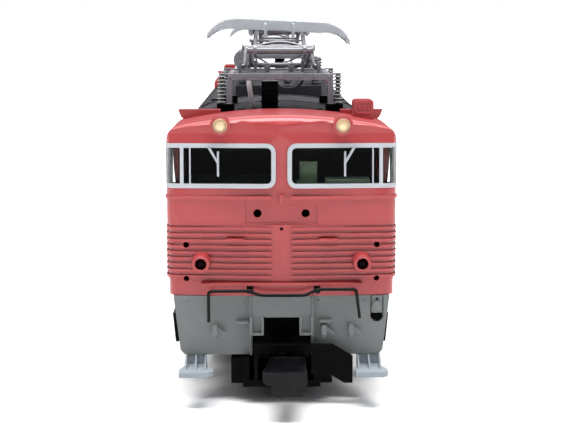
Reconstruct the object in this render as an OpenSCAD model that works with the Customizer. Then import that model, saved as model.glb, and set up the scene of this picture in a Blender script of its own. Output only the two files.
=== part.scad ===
// Six-axle electric locomotive, a 1:150 model on 9 mm gauge wheels.
// Z = 0 is the bottom of the wheel flanges, the length runs along Y,
// end A looks to -Y. Heights named h_... are measured above the rail.

/* [Body] */
// Length of the body between the middles of its two faces
body_len = 118; // [112:0.5:128]
// Width of the body over its smooth upper walls
body_w = 19.2; // [18.6:0.1:21]
// Thickness of the moulded walls
wall = 1; // [0.8:0.05:1.2]
// Length of a cab, from its face to the machine room
cab_len = 12; // [11:0.25:14]
// How far the corners of the face lie behind its middle
face_rake = 0.5; // [0.2:0.05:0.9]
// Radius of the upright body corners
corner_r = 1.15; // [1.05:0.05:1.6]
// How far the face leans back at the roof
face_lean = 0.4; // [0:0.05:0.8]

/* [Heights above the rail] */
// Bottom edge of the body
h_body = 8.35; // [8.2:0.05:9]
// Top of the plain band at the bottom of the body
h_band = 9.6; // [9.4:0.05:10]
// Top of the ribbed zone
h_ribs = 14.35; // [14:0.05:15]
// Bottom of the window band
h_window = 17.4; // [17:0.05:18]
// Crown of the cab roof
h_cab_roof = 23.4; // [23.2:0.1:24.4]
// Crown of the machine room roof
h_roof = 23.2; // [23:0.1:23.4]

/* [Face] */
// Height of the window band over its frames
window_h = 3.7; // [3.2:0.05:4]
// Width of the window frames
frame_w = 0.37; // [0.25:0.01:0.5]
// Half of the gap between the two front windows
window_gap = 0.48; // [0.4:0.01:0.7]
// Spacing of the ribs
rib_pitch = 0.506; // [0.49:0.002:0.52]
// Height of a rib
rib_h = 0.23; // [0.2:0.01:0.32]
// Radius of the headlight lenses
headlight_r = 0.6; // [0.5:0.01:0.7]
// Radius of the tail lights
tail_light_r = 0.48; // [0.4:0.01:0.6]
// Width of the number plate recess
recess_w = 6; // [5:0.1:6.6]
// Radius of the number plate holes
plate_hole_r = 0.34; // [0.2:0.01:0.4]

/* [Running gear] */
// Wheel diameter on the tread
wheel_d = 7.47; // [7:0.01:7.8]
// Height of the wheel flanges
flange_h = 0.7; // [0.5:0.05:0.9]
// Distance between the backs of the two wheels of an axle
back_to_back = 7.5; // [7.3:0.05:7.6]
// Width of a wheel with its flange
wheel_w = 2; // [1.7:0.05:2.1]
// Distance between the two axles of a bogie
wheelbase = 16.67; // [15.5:0.01:17.5]
// Distance from one bogie centre to the next
bogie_pitch = 36; // [35:0.25:38]
// Radius of an axle
axle_r = 0.75; // [0.6:0.05:0.9]
// Running clearance round axles and pivots
play = 0.15; // [0.1:0.01:0.2]
// Sideways travel of the middle bogie, each way
bogie_shift = 1.5; // [1:0.1:1.6]

/* [Skirt and coupler] */
// Half width of the skirt at its top
skirt_top = 9.05; // [8.6:0.05:9.2]
// Half width of the skirt at its bottom
skirt_bottom = 8.5; // [8.2:0.05:8.6]
// Bottom of the skirt
h_skirt = 3.3; // [3.1:0.05:3.6]
// Thickness of the skirt
skirt_t = 0.7; // [0.5:0.05:0.8]
// Width of the coupler pocket
pocket_w = 6.5; // [5.5:0.1:7]
// How far the coupler reaches in front of the face
coupler_reach = 6.6; // [5.5:0.1:7.5]

/* [Pantographs] */
// Distance from the face to the middle of a pantograph
panto_setback = 20; // [19.5:0.1:21]
// Length of a pantograph arm between its pivots
arm_len = 9.3; // [8.8:0.1:9.8]
// Angle of the arms over the horizontal as they stand
arm_angle = 10; // [8:0.5:14]
// Distance of a base pivot from the pantograph's middle
pivot_offset = 1.8; // [1.6:0.05:2.2]
// Height of the base pivots above the rail
h_panto_pivot = 26.9; // [26.7:0.05:27.4]
// Radius of the arm tubes
tube_r = 0.2; // [0.16:0.01:0.24]
// Width of the collector head over its horns
head_w = 13.5; // [12.5:0.1:14.5]

/* [Hidden] */

$fn = 48;
body_red = [0.70, 0.20, 0.22];
roof_grey = [0.27, 0.26, 0.29];
skirt_grey = [0.56, 0.58, 0.58];
step_grey = [0.68, 0.72, 0.76];
frame_silver = [0.80, 0.83, 0.86];
panto_silver = [0.66, 0.67, 0.70];
plastic_black = [0.05, 0.05, 0.06];

half_w = body_w / 2;
bogie_half = wheelbase / 2 + wheel_d / 2 - 0.1;
half_len = body_len / 2;
cab_y = half_len - cab_len;          // where a cab shell meets the machine room
rake_angle = atan(face_rake / (half_w - corner_r));
fit_gap = 0.05;                      // assembly clearance of fitted pieces
through = 1;                         // how far a cutter runs past what it cuts

// roof sections: arch radius, shoulder radius
cab_arch_r = 42;
cab_shoulder_r = 1.3;
cab_edge_r = 1.1;                    // rounding of the roof over the face
roof_arch_r = 30;
roof_shoulder_r = 3.2;
h_gutter = 20.5;                     // side walls end and the roof begins
h_door_top = 19.3;                   // above this the cab shell is shorter
cab_roof_len = 10;
roof_y = half_len - cab_roof_len;

rib_count = 9;
h_first_rib = 9.98;
band_inset = 0.17;                   // plain band at the bottom
rib_root = 0.14;                     // ribbed zone behind the smooth walls
rib_proud = 0.06;
column_w = 1.7;                      // flat column between the ribs

window_side = 2.3;                   // the window band's reach round the corner
glass_in = 0.08;
glass_t = 0.4;
pillars_at = [[half_w - 2.02, 0.12], [half_w - 1.34, 0.3]];   // middle and width of each

headlight_x = 5.05;
h_headlight = 22.6;
tail_x = 6.7;
h_tail = 11.2;
recess_h = 1.57;
h_recess = 15.28;
recess_floor = 0.5;
whistle_x = [6.25, 8.05];
whistle_v = [6.3, 8.3];

axle_z = wheel_d / 2;
flange_r = wheel_d / 2 + flange_h;
bogie_y = [-bogie_pitch, 0, bogie_pitch];
side_frame_x = back_to_back / 2 + wheel_w + 0.45;
side_frame_t = 1.1;
h_bogie_top = 7.3;
pivot_r = 1.3;
h_floor = h_body + 0.45;             // underside of the chassis plate
floor_t = 0.8;

panto_y = half_len - panto_setback;
base_half = 7;                       // half length of a pantograph base
post_x = 4.62;
h_beam = 25.8;                       // underside of the base beams
beam_h = 0.6;
knee_z = h_panto_pivot + arm_len * sin(arm_angle);
knee_run = arm_len * cos(arm_angle);
top_z = h_panto_pivot + 2 * arm_len * sin(arm_angle);
shaft_r = 0.25;
lug_t = 0.3;
front_lower_x = 2.75;
rear_lower_x = 3.3;
front_upper_x = 2.25;
rear_upper_x = 1.8;

coupler_pivot_v = 1.6;               // coupler pivot behind the face
h_coupler = 2.55;                    // middle of the coupler's shank
coupler_swing = 1.5;                 // the coupler hangs a little to one side

function arc(cx, cy, r, from, to, n) =
    [for (i = [0:n]) let (t = from + (to - from) * i / n) [cx + r * cos(t), cy + r * sin(t)]];
function flipped(points) = [for (i = [len(points) - 1:-1:0]) [-points[i][0], points[i][1]]];

// ---- placing -------------------------------------------------------------

module on_rail() { translate([0, 0, flange_h]) children(); }

module end_b() { rotate([0, 0, 180]) children(); }

module at_face() { translate([0, -half_len, 0]) children(); }

// children drawn in X and Z, run along Y from y0 to y1
module along_y(y0, y1) { translate([0, y1, 0]) rotate([90, 0, 0]) linear_extrude(y1 - y0) children(); }

// children drawn in Y and Z, run along X from x0 to x1
module along_x(x0, x1) { translate([x0, 0, 0]) rotate([90, 0, 90]) linear_extrude(x1 - x0) children(); }

module both_sides() {
    children();
    mirror([1, 0, 0]) children();
}

module block(x0, x1, y0, y1, z0, z1) { translate([x0, y0, z0]) cube([x1 - x0, y1 - y0, z1 - z0]); }

module rod_x(x0, x1, y, z, r) { translate([x0, y, z]) rotate([0, 90, 0]) cylinder(h = x1 - x0, r = r); }

module rod_y(x, y0, y1, z, r) { translate([x, y1, z]) rotate([90, 0, 0]) cylinder(h = y1 - y0, r = r); }

// a tube in the YZ plane at x, from one point to another
module tube(x, y0, z0, y1, z1, r) {
    length = sqrt((y1 - y0) * (y1 - y0) + (z1 - z0) * (z1 - z0));
    translate([x, y0, z0]) rotate([-atan2(y1 - y0, z1 - z0), 0, 0]) cylinder(h = length, r = r);
}

module rounded_rect(x0, x1, z0, z1, r) {
    polygon(concat(arc(x1 - r, z1 - r, r, 0, 90, 5), arc(x0 + r, z1 - r, r, 90, 180, 5),
        arc(x0 + r, z0 + r, r, 180, 270, 5), arc(x1 - r, z0 + r, r, 270, 360, 5)));
}

// ---- body outlines -------------------------------------------------------

// plan of a body end, its face towards -Y, grown outwards by g
function corner_points(g) =
    let (cy = (corner_r + (half_w - corner_r) * sin(rake_angle)) / cos(rake_angle))
    arc(half_w - corner_r, cy, corner_r + g, rake_angle - 90, 0, 6);
function plan_points(g, depth) =
    let (half = concat([[0, -g / cos(rake_angle)]], corner_points(g), [[half_w + g, depth]]))
    concat(half, [for (i = [len(half) - 1:-1:1]) [-half[i][0], half[i][1]]]);

module plan(g, depth, z0, z1) {
    at_face() translate([0, 0, z0]) linear_extrude(z1 - z0) polygon(plan_points(g, depth));
}

// the leaning planes of the face
module leaning_plane(g, side) {
    at_face() rotate([0, 0, side * rake_angle]) along_x(-15, 15)
        polygon([[-g, 0], [-g, h_window - 0.8], [face_lean - g, h_cab_roof - 1.5],
            [face_lean - g, h_cab_roof + 2], [20, h_cab_roof + 2], [20, 0]]);
}

module leaning_face(g) {
    intersection() {
        leaning_plane(g, 1);
        leaning_plane(g, -1);
    }
}

// section of the cab: upright walls and round shoulders
module cab_section(g, bottom) {
    cx = half_w - cab_shoulder_r;
    cz = h_cab_roof - cab_arch_r + sqrt(pow(cab_arch_r - cab_shoulder_r, 2) - cx * cx);
    end = acos(cx / (cab_arch_r - cab_shoulder_r)) - 7;
    r = cab_shoulder_r + g;
    tip = [cx + r * cos(end) - 8 * sin(end), cz + r * sin(end) + 8 * cos(end)];
    half = concat([[half_w + g, bottom]], arc(cx, cz, r, 0, end, 7), [tip]);
    polygon(concat(half, flipped(half)));
}

// arched cab roof with its rounded front edge
module cab_arch() {
    run = cab_len + 2;
    at_face() translate([0, run, h_cab_roof - cab_arch_r]) rotate([90, 0, 0]) rotate_extrude($fn = 360)
        polygon(concat([[cab_arch_r - 12, 0], [cab_arch_r, 0]],
            arc(cab_arch_r - cab_edge_r, run - face_lean - cab_edge_r, cab_edge_r, 0, 90, 5),
            [[cab_arch_r - 12, run - face_lean]]));
}

// section of the machine room and its roof
function roof_points(g, bottom) =
    let (cx = half_w - roof_shoulder_r,
        cz = h_roof - roof_arch_r + sqrt(pow(roof_arch_r - roof_shoulder_r, 2) - cx * cx),
        meet = acos(cx / (roof_arch_r - roof_shoulder_r)))
    concat([[half_w + g, bottom]], arc(cx, cz, roof_shoulder_r + g, 0, meet, 7),
        [for (i = [1:7]) let (t = meet + (89.6 - meet) * i / 7)
            [(roof_arch_r + g) * cos(t), h_roof - roof_arch_r + (roof_arch_r + g) * sin(t)]]);

module roof_section(g, bottom) {
    half = roof_points(g, bottom);
    polygon(concat(half, flipped(half)));
}

// ribs round a body end
module end_ribs() {
    for (i = [0:rib_count - 1]) {
        z = h_first_rib + i * rib_pitch;
        difference() {
            plan(rib_proud, cab_len, z - rib_h / 2, z + rib_h / 2);
            plan(-wall / 2, cab_len + through, z - rib_h, z + rib_h);
            block(-column_w / 2, column_w / 2, -half_len - through, -half_len + wall, z - rib_h, z + rib_h);
        }
    }
}

// ---- cab shell -----------------------------------------------------------

// the zone of the window band, drawn in by e
module window_zone(e) {
    at_face() along_y(-through, window_side - e)
        rounded_rect(window_gap + e, half_w + 2, h_window + e, h_window + window_h - e, 0.75 - e);
}

module cab_body() {
    plan(-band_inset, cab_len, h_body, h_band);
    plan(-rib_root, cab_len, h_band, h_ribs);
    intersection() {
        plan(0, cab_len, h_ribs, h_cab_roof + through);
        leaning_face(0);
        at_face() along_y(-through, cab_len + through) cab_section(0, h_ribs - through);
        cab_arch();
    }
}

module cab_hollow() {
    difference() {
        plan(-wall, cab_len + through, h_body - through, h_cab_roof - 2.85);
        block(-20, 20, -half_len, -half_len + 0.9, h_body - 2, h_ribs);
    }
    at_face() along_y(wall + 1.1, cab_len + through)
        polygon([[-half_w + 1.6, h_cab_roof - 3.6], [half_w - 1.6, h_cab_roof - 3.6],
            [half_w - 3.4, h_cab_roof - 1.9], [0, h_cab_roof - 1.2], [-half_w + 3.4, h_cab_roof - 1.9]]);
}

side_window_v = [3.1, 6.5];
door_v = [7.3, 11.2];
door_groove = 0.12;

module door_cuts() {
    for (s = [0, 1]) mirror([s, 0, 0]) at_face() {
        // cab side window and the window in the door
        along_x(half_w - 2 * wall, half_w + through)
            rounded_rect(side_window_v[0], side_window_v[1], h_window, h_window + 3.1, 0.35);
        along_x(half_w - 2 * wall, half_w + through)
            rounded_rect(door_v[0] + 0.9, door_v[1] - 0.9, h_window - 0.6, h_window + 1.5, 0.3);
        // groove round the door
        difference() {
            block(half_w - rib_root - 0.12, half_w + 1, door_v[0] - door_groove, door_v[1] + door_groove,
                h_body + 0.7, h_door_top - 0.1);
            block(half_w - 1, half_w + 2, door_v[0], door_v[1], h_body + 0.82, h_door_top - 0.22);
        }
    }
}

module face_details() {
    // ridge under the windows
    difference() {
        plan(0.12, cab_len, 16.5, 16.75);
        plan(-wall / 2, cab_len + through, 16, 17);
        block(-0.9, 0.9, -half_len - through, -half_len + wall, 16, 17);
        block(-20, 20, -half_len + window_side, 0, 16, 17);
    }
    at_face() {
        // name plate boss over the recess
        block(-0.18, 0.18, -0.15, 0.5, 16.15, 16.85);
        // step bar and foot plates
        block(-6.7, 6.7, -0.32, 0.7, 9.3, 9.52);
        both_sides() block(3.1, 4.65, -0.5, 0.5, 13.1, 13.24);
        // housings of the head and tail lights
        both_sides() rod_y(headlight_x, -0.25, 1.6, h_headlight, headlight_r + 0.23);
        both_sides() translate([tail_x, 1, h_tail]) rotate([90, 0, 0])
            cylinder(h = 1.7, r1 = tail_light_r + 0.42, r2 = tail_light_r + 0.24);
        // raised rims over the cab doors
        both_sides() along_y(cab_roof_len - 1.1, cab_roof_len)
            polygon([[5.3, h_cab_roof - 1.2], [half_w - 1.4, h_cab_roof - 1.2],
                [half_w - 0.8, h_cab_roof - 0.64], [half_w - 0.55, h_cab_roof - 0.02],
                [5.3, h_cab_roof - 0.02]]);
        // seat of the whistle cover
        block(whistle_x[0] - 0.1, whistle_x[1] + 0.1, whistle_v[0] - 0.3, whistle_v[1] + 0.3,
            h_cab_roof - 2.4, h_cab_roof - 0.75);
    }
}

module face_cuts() {
    at_face() {
        block(-recess_w / 2, recess_w / 2, -through, recess_floor,
            h_recess - recess_h / 2, h_recess + recess_h / 2);
        both_sides() rod_y(2, 0, 2, h_recess, plate_hole_r);
        rod_y(0, -through, 1.5, 14.03, 0.14);
        // the whistle cover stands on a flat seat
        block(whistle_x[0], whistle_x[1], whistle_v[0], whistle_v[1], h_cab_roof - 0.75, h_cab_roof + 5);
        both_sides() {
            rod_y(headlight_x, -through, 3, h_headlight, headlight_r);
            rod_y(tail_x, -through, 3, h_tail, tail_light_r);
            rod_y(7.95, -through, 2, 12.65, 0.24);
            rod_y(7.95, -through, 2, 9.8, 0.24);
        }
    }
}

module cab_shell() {
    color(body_red) on_rail() difference() {
        union() {
            difference() {
                cab_body();
                cab_hollow();
            }
            end_ribs();
            face_details();
        }
        both_sides() window_zone(0);
        door_cuts();
        face_cuts();
        block(-20, 20, -roof_y, 0, h_door_top, h_cab_roof + 5);
    }
}

// a thin skin under the surface of the face, between two depths
module face_skin(g0, g1) {
    difference() {
        intersection() {
            plan(g0, window_side + through, h_window - 0.5, h_window + window_h + 0.5);
            leaning_face(g0);
        }
        intersection() {
            plan(g1, window_side + 2 * through, h_window - 1, h_window + window_h + 1);
            leaning_face(g1);
        }
    }
}

module pillars() {
    for (p = pillars_at) at_face() block(p[0] - p[1] / 2, p[0] + p[1] / 2, -through, window_side / 2,
        h_window + 0.2, h_window + window_h - 0.2);
}

module window_frames() {
    color(frame_silver) on_rail() both_sides() intersection() {
        face_skin(fit_gap, -glass_in - glass_t);
        union() {
            difference() {
                window_zone(0);
                window_zone(frame_w);
            }
            intersection() {
                window_zone(frame_w);
                pillars();
            }
        }
    }
}

module cab_glass() {
    color([0.10, 0.12, 0.13, 0.6]) on_rail() {
        both_sides() difference() {
            intersection() {
                face_skin(-glass_in, -glass_in - glass_t);
                window_zone(frame_w);
            }
            pillars();
        }
        for (s = [0, 1]) mirror([s, 0, 0]) at_face() {
            along_x(half_w - wall + 0.3, half_w - 0.15)
                rounded_rect(side_window_v[0], side_window_v[1], h_window, h_window + 3.1, 0.35);
            along_x(half_w - wall + 0.3, half_w - 0.15)
                rounded_rect(door_v[0] + 0.9, door_v[1] - 0.9, h_window - 0.6, h_window + 1.5, 0.3);
        }
    }
}

module headlight_lenses() {
    color([0.96, 0.90, 0.74]) on_rail() for (turn = [0, 180]) rotate([0, 0, turn])
        at_face() both_sides() rod_y(headlight_x, -0.02, 2, h_headlight, headlight_r);
}

module tail_light_lenses() {
    color([0.12, 0.02, 0.02]) on_rail() for (turn = [0, 180]) rotate([0, 0, turn])
        at_face() both_sides() rod_y(tail_x, -0.3, 1.4, h_tail, tail_light_r);
}

wiper_x = 5.25;
wiper_t = 0.16;

// a wiper blade with its arm, on the glass
module wiper_outline() {
    polygon([[wiper_x - wiper_t / 2, 18.4], [wiper_x + wiper_t / 2, 18.4],
        [wiper_x + wiper_t / 2, 19.45], [wiper_x + 0.95, h_window + window_h - frame_w / 2],
        [wiper_x + 0.72, h_window + window_h - frame_w / 2], [wiper_x + wiper_t / 2, 19.8],
        [wiper_x + wiper_t / 2, 20.45], [wiper_x - wiper_t / 2, 20.45]]);
}

module wipers() {
    color(frame_silver) on_rail() both_sides() {
        intersection() {
            difference() {
                leaning_face(fit_gap + 0.2);
                leaning_face(-glass_in);
            }
            at_face() along_y(-through, 2 * through) intersection() {
                wiper_outline();
                translate([0, h_window + frame_w]) square([20, window_h - 2 * frame_w]);
            }
        }
    }
}

module cab_interior() {
    desk_top = h_window + 0.6;
    color([0.62, 0.72, 0.60]) on_rail() at_face() {
        // floor, desk and the back of the driver's seat
        difference() {
            block(-7.9, 7.9, 1.7, cab_len - 0.4, h_window - 1.1, h_window - 0.6);
            block(-30, 30, -1, 1.7, 0, 30);
        }
        block(-7.4, -2.2, 1.7, 3.4, h_window - 0.6, desk_top);
        block(3.7, 7.4, 1.7, 3.4, h_window - 0.6, desk_top);
        block(1.6, 3.1, 4.6, 5.4, h_window - 0.6, h_window + 1.75);
        block(1.2, 3.2, 3.6, 5.4, h_window - 0.6, h_window - 0.1);
    }
}

module whistle_covers() {
    x0 = whistle_x[0];
    x1 = whistle_x[1];
    top = h_cab_roof + 1;
    r = 0.3;
    color(body_red) on_rail() for (turn = [0, 180]) rotate([0, 0, turn]) at_face()
        along_y(whistle_v[0], whistle_v[1]) polygon(concat([[x0, h_cab_roof - 0.75], [x1, h_cab_roof - 0.75]],
            arc(x1 - r, top - r, r, 0, 90, 4), arc(x0 + r, top - r, r, 90, 180, 4)));
}

// ---- machine room --------------------------------------------------------

room_window_y = [-30, -10, 10, 30];
louvre_y = [-40, -20, 0, 20, 40];
h_room_window = 15.6;
room_window_h = 2.6;

module side_wall() {
    color(body_red) on_rail() difference() {
        union() {
            intersection() {
                union() {
                    block(half_w - wall, half_w - band_inset, -cab_y, cab_y, h_body, h_band);
                    block(half_w - wall, half_w - rib_root, -cab_y, cab_y, h_band, h_ribs);
                    difference() {
                        along_y(-roof_y, roof_y) difference() {
                            roof_section(0, h_ribs);
                            roof_section(-wall, h_ribs - through);
                        }
                        for (s = [-1, 1]) translate([0, s * (cab_y + 10), h_ribs])
                            cube([50, 20, 2 * (h_door_top - h_ribs)], center = true);
                    }
                }
                block(0, 20, -half_len, half_len, h_body, h_gutter);
            }
            for (i = [0:rib_count - 1])
                block(half_w - wall / 2, half_w + rib_proud, -cab_y, cab_y,
                    h_first_rib + i * rib_pitch - rib_h / 2, h_first_rib + i * rib_pitch + rib_h / 2);
            // frames of the air inlets
            for (y = louvre_y)
                block(half_w - wall / 2, half_w + 0.12, y - 3.6, y + 3.6, h_ribs + 0.5, h_gutter - 1.9);
        }
        for (y = louvre_y)
            block(half_w - 0.35, half_w + through, y - 3.3, y + 3.3, h_ribs + 0.8, h_gutter - 2.2);
        for (y = room_window_y)
            along_x(half_w - 2 * wall, half_w + through)
                rounded_rect(y - 2, y + 2, h_room_window, h_room_window + room_window_h, 0.4);
    }
}

module machine_room_glass() {
    color([0.10, 0.12, 0.13, 0.6]) on_rail() both_sides() for (y = room_window_y)
        along_x(half_w - wall + 0.3, half_w - 0.2)
            rounded_rect(y - 2, y + 2, h_room_window, h_room_window + room_window_h, 0.4);
}

module roof_shell() {
    color(roof_grey) on_rail() intersection() {
        along_y(-roof_y, roof_y) difference() {
            roof_section(0, h_gutter - 1);
            roof_section(-wall, h_gutter - 2);
        }
        block(-20, 20, -half_len, half_len, h_gutter, h_roof + 1);
    }
}

hood_half = 20;
h_hood = h_roof + 0.9;

module roof_hood() {
    color(plastic_black) on_rail() difference() {
        along_y(-hood_half, hood_half)
            polygon([[-6.4, h_roof - 1.4], [6.4, h_roof - 1.4], [5.6, h_hood], [-5.6, h_hood]]);
        along_y(-hood_half - through, hood_half + through) roof_section(0, h_roof - 5);
    }
}

breaker_r = 1;
gear_y = 17.5;

module high_voltage_gear() {
    color(panto_silver) on_rail() {
        // circuit breaker tank on its two feet
        rod_y(-3.75, -gear_y, -9, h_hood + 2.8, breaker_r);
        for (y = [-gear_y + 1.5, -10.5]) translate([-3.75 - 0.5, y - 0.5, h_hood]) cube([1, 1, 2.1]);
        // surge arrester
        translate([4.4, -gear_y, h_hood]) cylinder(h = 3.1, r = 0.5);
        translate([4.4, gear_y, h_hood]) cylinder(h = 3.1, r = 0.5);
        // bus bar on its posts
        for (y = [-14, -4, 6, 15]) translate([1.2, y, h_hood]) cylinder(h = 1.5, r = 0.3);
        rod_y(1.2, -15, 16, h_hood + 1.6, 0.15);
        // transformer cooler housing
        block(-5, -1, -6, 14, h_hood, h_hood + 0.8);
    }
}

module chassis_frame() {
    color(plastic_black) on_rail() difference() {
        union() {
            block(-half_w + wall + 0.1, half_w - wall - 0.1, -half_len + 1.8, half_len - 1.8, h_floor,
                h_floor + floor_t);
            // end beams that carry the skirt and the coupler pocket
            for (s = [-1, 1]) translate([0, s * (half_len - 2.6), h_floor - 0.23])
                cube([2 * skirt_bottom - 1, 1.6, 0.46], center = true);
        }
        for (y = [bogie_y[0], bogie_y[2]]) translate([0, y, h_floor - through])
            cylinder(h = floor_t + 2 * through, r = pivot_r + play);
        // slot of the middle bogie
        translate([0, 0, h_floor + floor_t / 2])
            cube([2 * bogie_shift, 2 * (pivot_r + play), floor_t + 2], center = true);
        for (s = [-1, 1]) translate([s * bogie_shift, 0, h_floor - through])
            cylinder(h = floor_t + 2 * through, r = pivot_r + play);
    }
}

module motor_and_weight() {
    color([0.25, 0.25, 0.27]) on_rail()
        block(-half_w + 2.6, half_w - 2.6, -cab_y + 1.2, cab_y - 1.2, h_floor + floor_t + 1, h_gutter - 0.3);
    color([0.25, 0.25, 0.27]) on_rail() for (y = [-bogie_pitch / 2, bogie_pitch / 2])
        block(-4, 4, y - 3, y + 3, h_floor + floor_t, h_floor + floor_t + 1);
}

module equipment_boxes() {
    gap_half = bogie_pitch / 2;
    color(plastic_black) on_rail() for (s = [-1, 1]) both_sides() {
        block(5.2, half_w - 0.7, s * gap_half - 3.7, s * gap_half + 3.7, 3.1, h_body - 0.15);
        block(5.6, half_w - 1.4, s * gap_half - 2.4, s * gap_half + 2.4, h_body - 0.2, h_floor);
    }
}

module step_hanger() {
    polygon([[half_w - 1.7, h_floor], [half_w - 1.3, h_floor], [half_w - 0.3, 5.4], [half_w, 5.35],
        [half_w - 0.25, 2.8], [half_w - 1.3, 2.8], [half_w - 1.7, 5]]);
}

module cab_steps() {
    v = cab_len - 4.7;
    color(plastic_black) on_rail() for (turn = [0, 180]) rotate([0, 0, turn]) both_sides() at_face() {
        // hanger and two treads under the cab door
        along_y(v, v + 0.4) step_hanger();
        along_y(v + 1.9, v + 2.3) step_hanger();
        block(half_w - 1.2, half_w - 0.3, v + 0.2, v + 2.1, 2.8, 3.05);
        block(half_w - 1.2, half_w - 0.02, v + 0.2, v + 2.1, 5.1, 5.35);
    }
}

// ---- front end under the body --------------------------------------------

slot_x = 8;
slot_w = 1.08;

module skirt() {
    top = h_body - 0.02;
    color(skirt_grey) on_rail() {
        difference() {
            at_face() union() {
                along_y(0.5, 0.5 + skirt_t) polygon([[-skirt_top, top], [skirt_top, top],
                    [skirt_bottom, h_skirt + 0.4], [skirt_bottom - 0.35, h_skirt],
                    [-skirt_bottom + 0.35, h_skirt], [-skirt_bottom, h_skirt + 0.4]]);
                // raised middle panel
                block(-2.65, 2.65, 0.3, 0.5, 5.1, top);
                both_sides() {
                    block(2.45, 2.65, -0.15, 0.3, 5.05, 6.55);
                    block(2.55, 2.68, 0.2, 0.35, h_skirt, top);
                    block(1.5, 2.65, -0.15, 0.5, 5.05, 5.25);
                    block(1.5, 1.68, -0.15, 0.5, 5.05, 6.5);
                    block(2.45, 2.65, 0.3, 0.6, h_skirt, top);
                }
                // flanges that meet the end beam
                both_sides() block(4, 7.4, 1.1, 2.2, h_body - 0.6, top);
                // small brackets over the cocks
                block(-3.8, -2.8, -0.1, 0.6, 6.05, 6.2);
                block(3.2, 4.15, -0.1, 0.6, 6.15, 6.3);
                // round the side edges
                both_sides() along_y(1.2, 3.2) polygon([[skirt_top, top], [skirt_top - 0.5, top],
                    [skirt_bottom - 0.5, h_skirt + 0.4], [skirt_bottom, h_skirt + 0.4]]);
            }
            // coupler opening
            at_face() block(-1.5, 1.5, -2, 3, h_skirt - 1, 6.5);
            at_face() block(-2.45, 2.45, -2, 3, h_skirt - 1, 5.05);
            // slot of the jumper socket
            at_face() along_y(-2, 3) union() {
                translate([slot_x - slot_w / 2, 6.62]) square([slot_w, 1.8]);
                translate([slot_x, 6.62]) circle(r = slot_w / 2);
            }
        }
    }
}

module jumper_sockets() {
    color([0.72, 0.72, 0.69]) on_rail() for (turn = [0, 180]) rotate([0, 0, turn]) at_face() {
        difference() {
            block(slot_x - 0.46, slot_x + 0.46, 0.5, 1.6, 6.85, h_body - 0.05);
            block(slot_x - 0.12, slot_x + 0.12, 0, 0.9, 7.92, 8.14);
        }
        rod_y(slot_x, 0.15, 0.51, 7.45, 0.4);
    }
}

module guard_plate() {
    color(plastic_black) on_rail() at_face() {
        difference() {
            along_y(-1, -0.6) polygon([[-2.3, 1], [-2.3, 4.5], [4.2, 4.5], [5.9, 3.48], [5.9, 1.2],
                [5.2, 1.2], [4.05, 1.9], [2, 1.9], [2, 1]]);
            block(-2, 2.45, -2, 0, 0, 3.75);
        }
        // shelf that ties the plate to the coupler pocket
        block(-2.3, 2.35, -0.6, -0.02, 4.25, 4.5);
        both_sides() block(1.75, 2.3, -0.22, -0.02, 3.22, 4.3);
    }
}

module skirt_steps() {
    color(step_grey) on_rail() for (turn = [0, 180]) rotate([0, 0, turn]) at_face() {
        for (place = [[-8.5, -5.7, -8.06, -6.3], [6.1, 8.75, 6.34, 8.28]]) {
            translate([0, 0, 2.06]) linear_extrude(0.43) polygon([[place[0] + 0.1, -2.5],
                [place[1] - 0.35, -2.5], [place[1], -2.1], [place[1], -1.3], [place[3] + 0.1, -0.4], [place[3], 1], [place[2], 1],
                [place[2] - 0.1, -0.4], [place[0], -1.3], [place[0], -2.4]]);
            // hanger and struts under the skirt
            block(place[2], place[3], 0.55, 1, 2.3, h_skirt - 0.02);
            for (i = [0:2]) translate([place[2] + i * (place[3] - place[2] - 0.14) / 2, 0, 0])
                along_x(0, 0.14) polygon([[-1.9, 2.4], [-1.4, 2.4], [0.6, h_skirt - 0.3],
                    [0.6, h_skirt - 0.02], [0.15, h_skirt - 0.02]]);
        }
    }
}

// a brake hose cock: body and slanting handle
module cock(x, z) {
    rod_y(x, -0.25, 0.5, z + 0.3, 0.22);
    translate([x - 0.2, -0.3, z - 0.3]) cube([0.4, 0.45, 0.6]);
    translate([x, -0.1, z + 0.25]) rotate([0, 38, 0]) cube([0.95, 0.26, 0.22]);
}

module brake_cocks() {
    color(skirt_grey * 1.12) on_rail() for (turn = [0, 180]) rotate([0, 0, turn]) at_face() {
        cock(-5.56, 5.4);
        cock(3.55, 5.42);
        cock(5.8, 5.45);
    }
}

// bent wire lever on its two brackets, in X and Z
lever_path = [[-6.06, 6.42], [-6.06, 9], [-2.8, 9.02], [-1.8, 8.64], [1.92, 8.64], [3, 9.14], [6.15, 9.14],
    [6.46, 6.72]];

module uncoupling_lever() {
    r = 0.12;
    y = -1;
    color(plastic_black) on_rail() at_face() {
        for (i = [0:len(lever_path) - 2]) {
            a = lever_path[i];
            b = lever_path[i + 1];
            length = norm(b - a) + (i == 0 || i == len(lever_path) - 2 ? 0 : 0.06);
            translate([a[0], y, a[1]]) rotate([0, atan2(b[0] - a[0], b[1] - a[1]), 0])
                cylinder(h = length, r = r);
        }
        for (x = [-2.85, 2.75]) block(x, x + 0.4, y - 0.2, 0.12, 8.8, 9.2);
    }
}

module coupler_pocket() {
    half = pocket_w / 2;
    color(plastic_black) on_rail() at_face() {
        difference() {
            union() {
                block(-half, half, -0.45, 8.2, 0.72, 3.2);
                block(-half - 1, half + 1, 0.4, 5, 0.85, 3);
            }
            // mouth in which the coupler swings
            block(-half + 0.55, half - 0.55, -2, 3.6, 1.3, 5);
        }
        block(-2.3, 2.3, 4.4, 8.2, 3.2, h_floor);
        translate([0, coupler_pivot_v, 1.2]) cylinder(h = 1.9, r = 0.45);
    }
}

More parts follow.
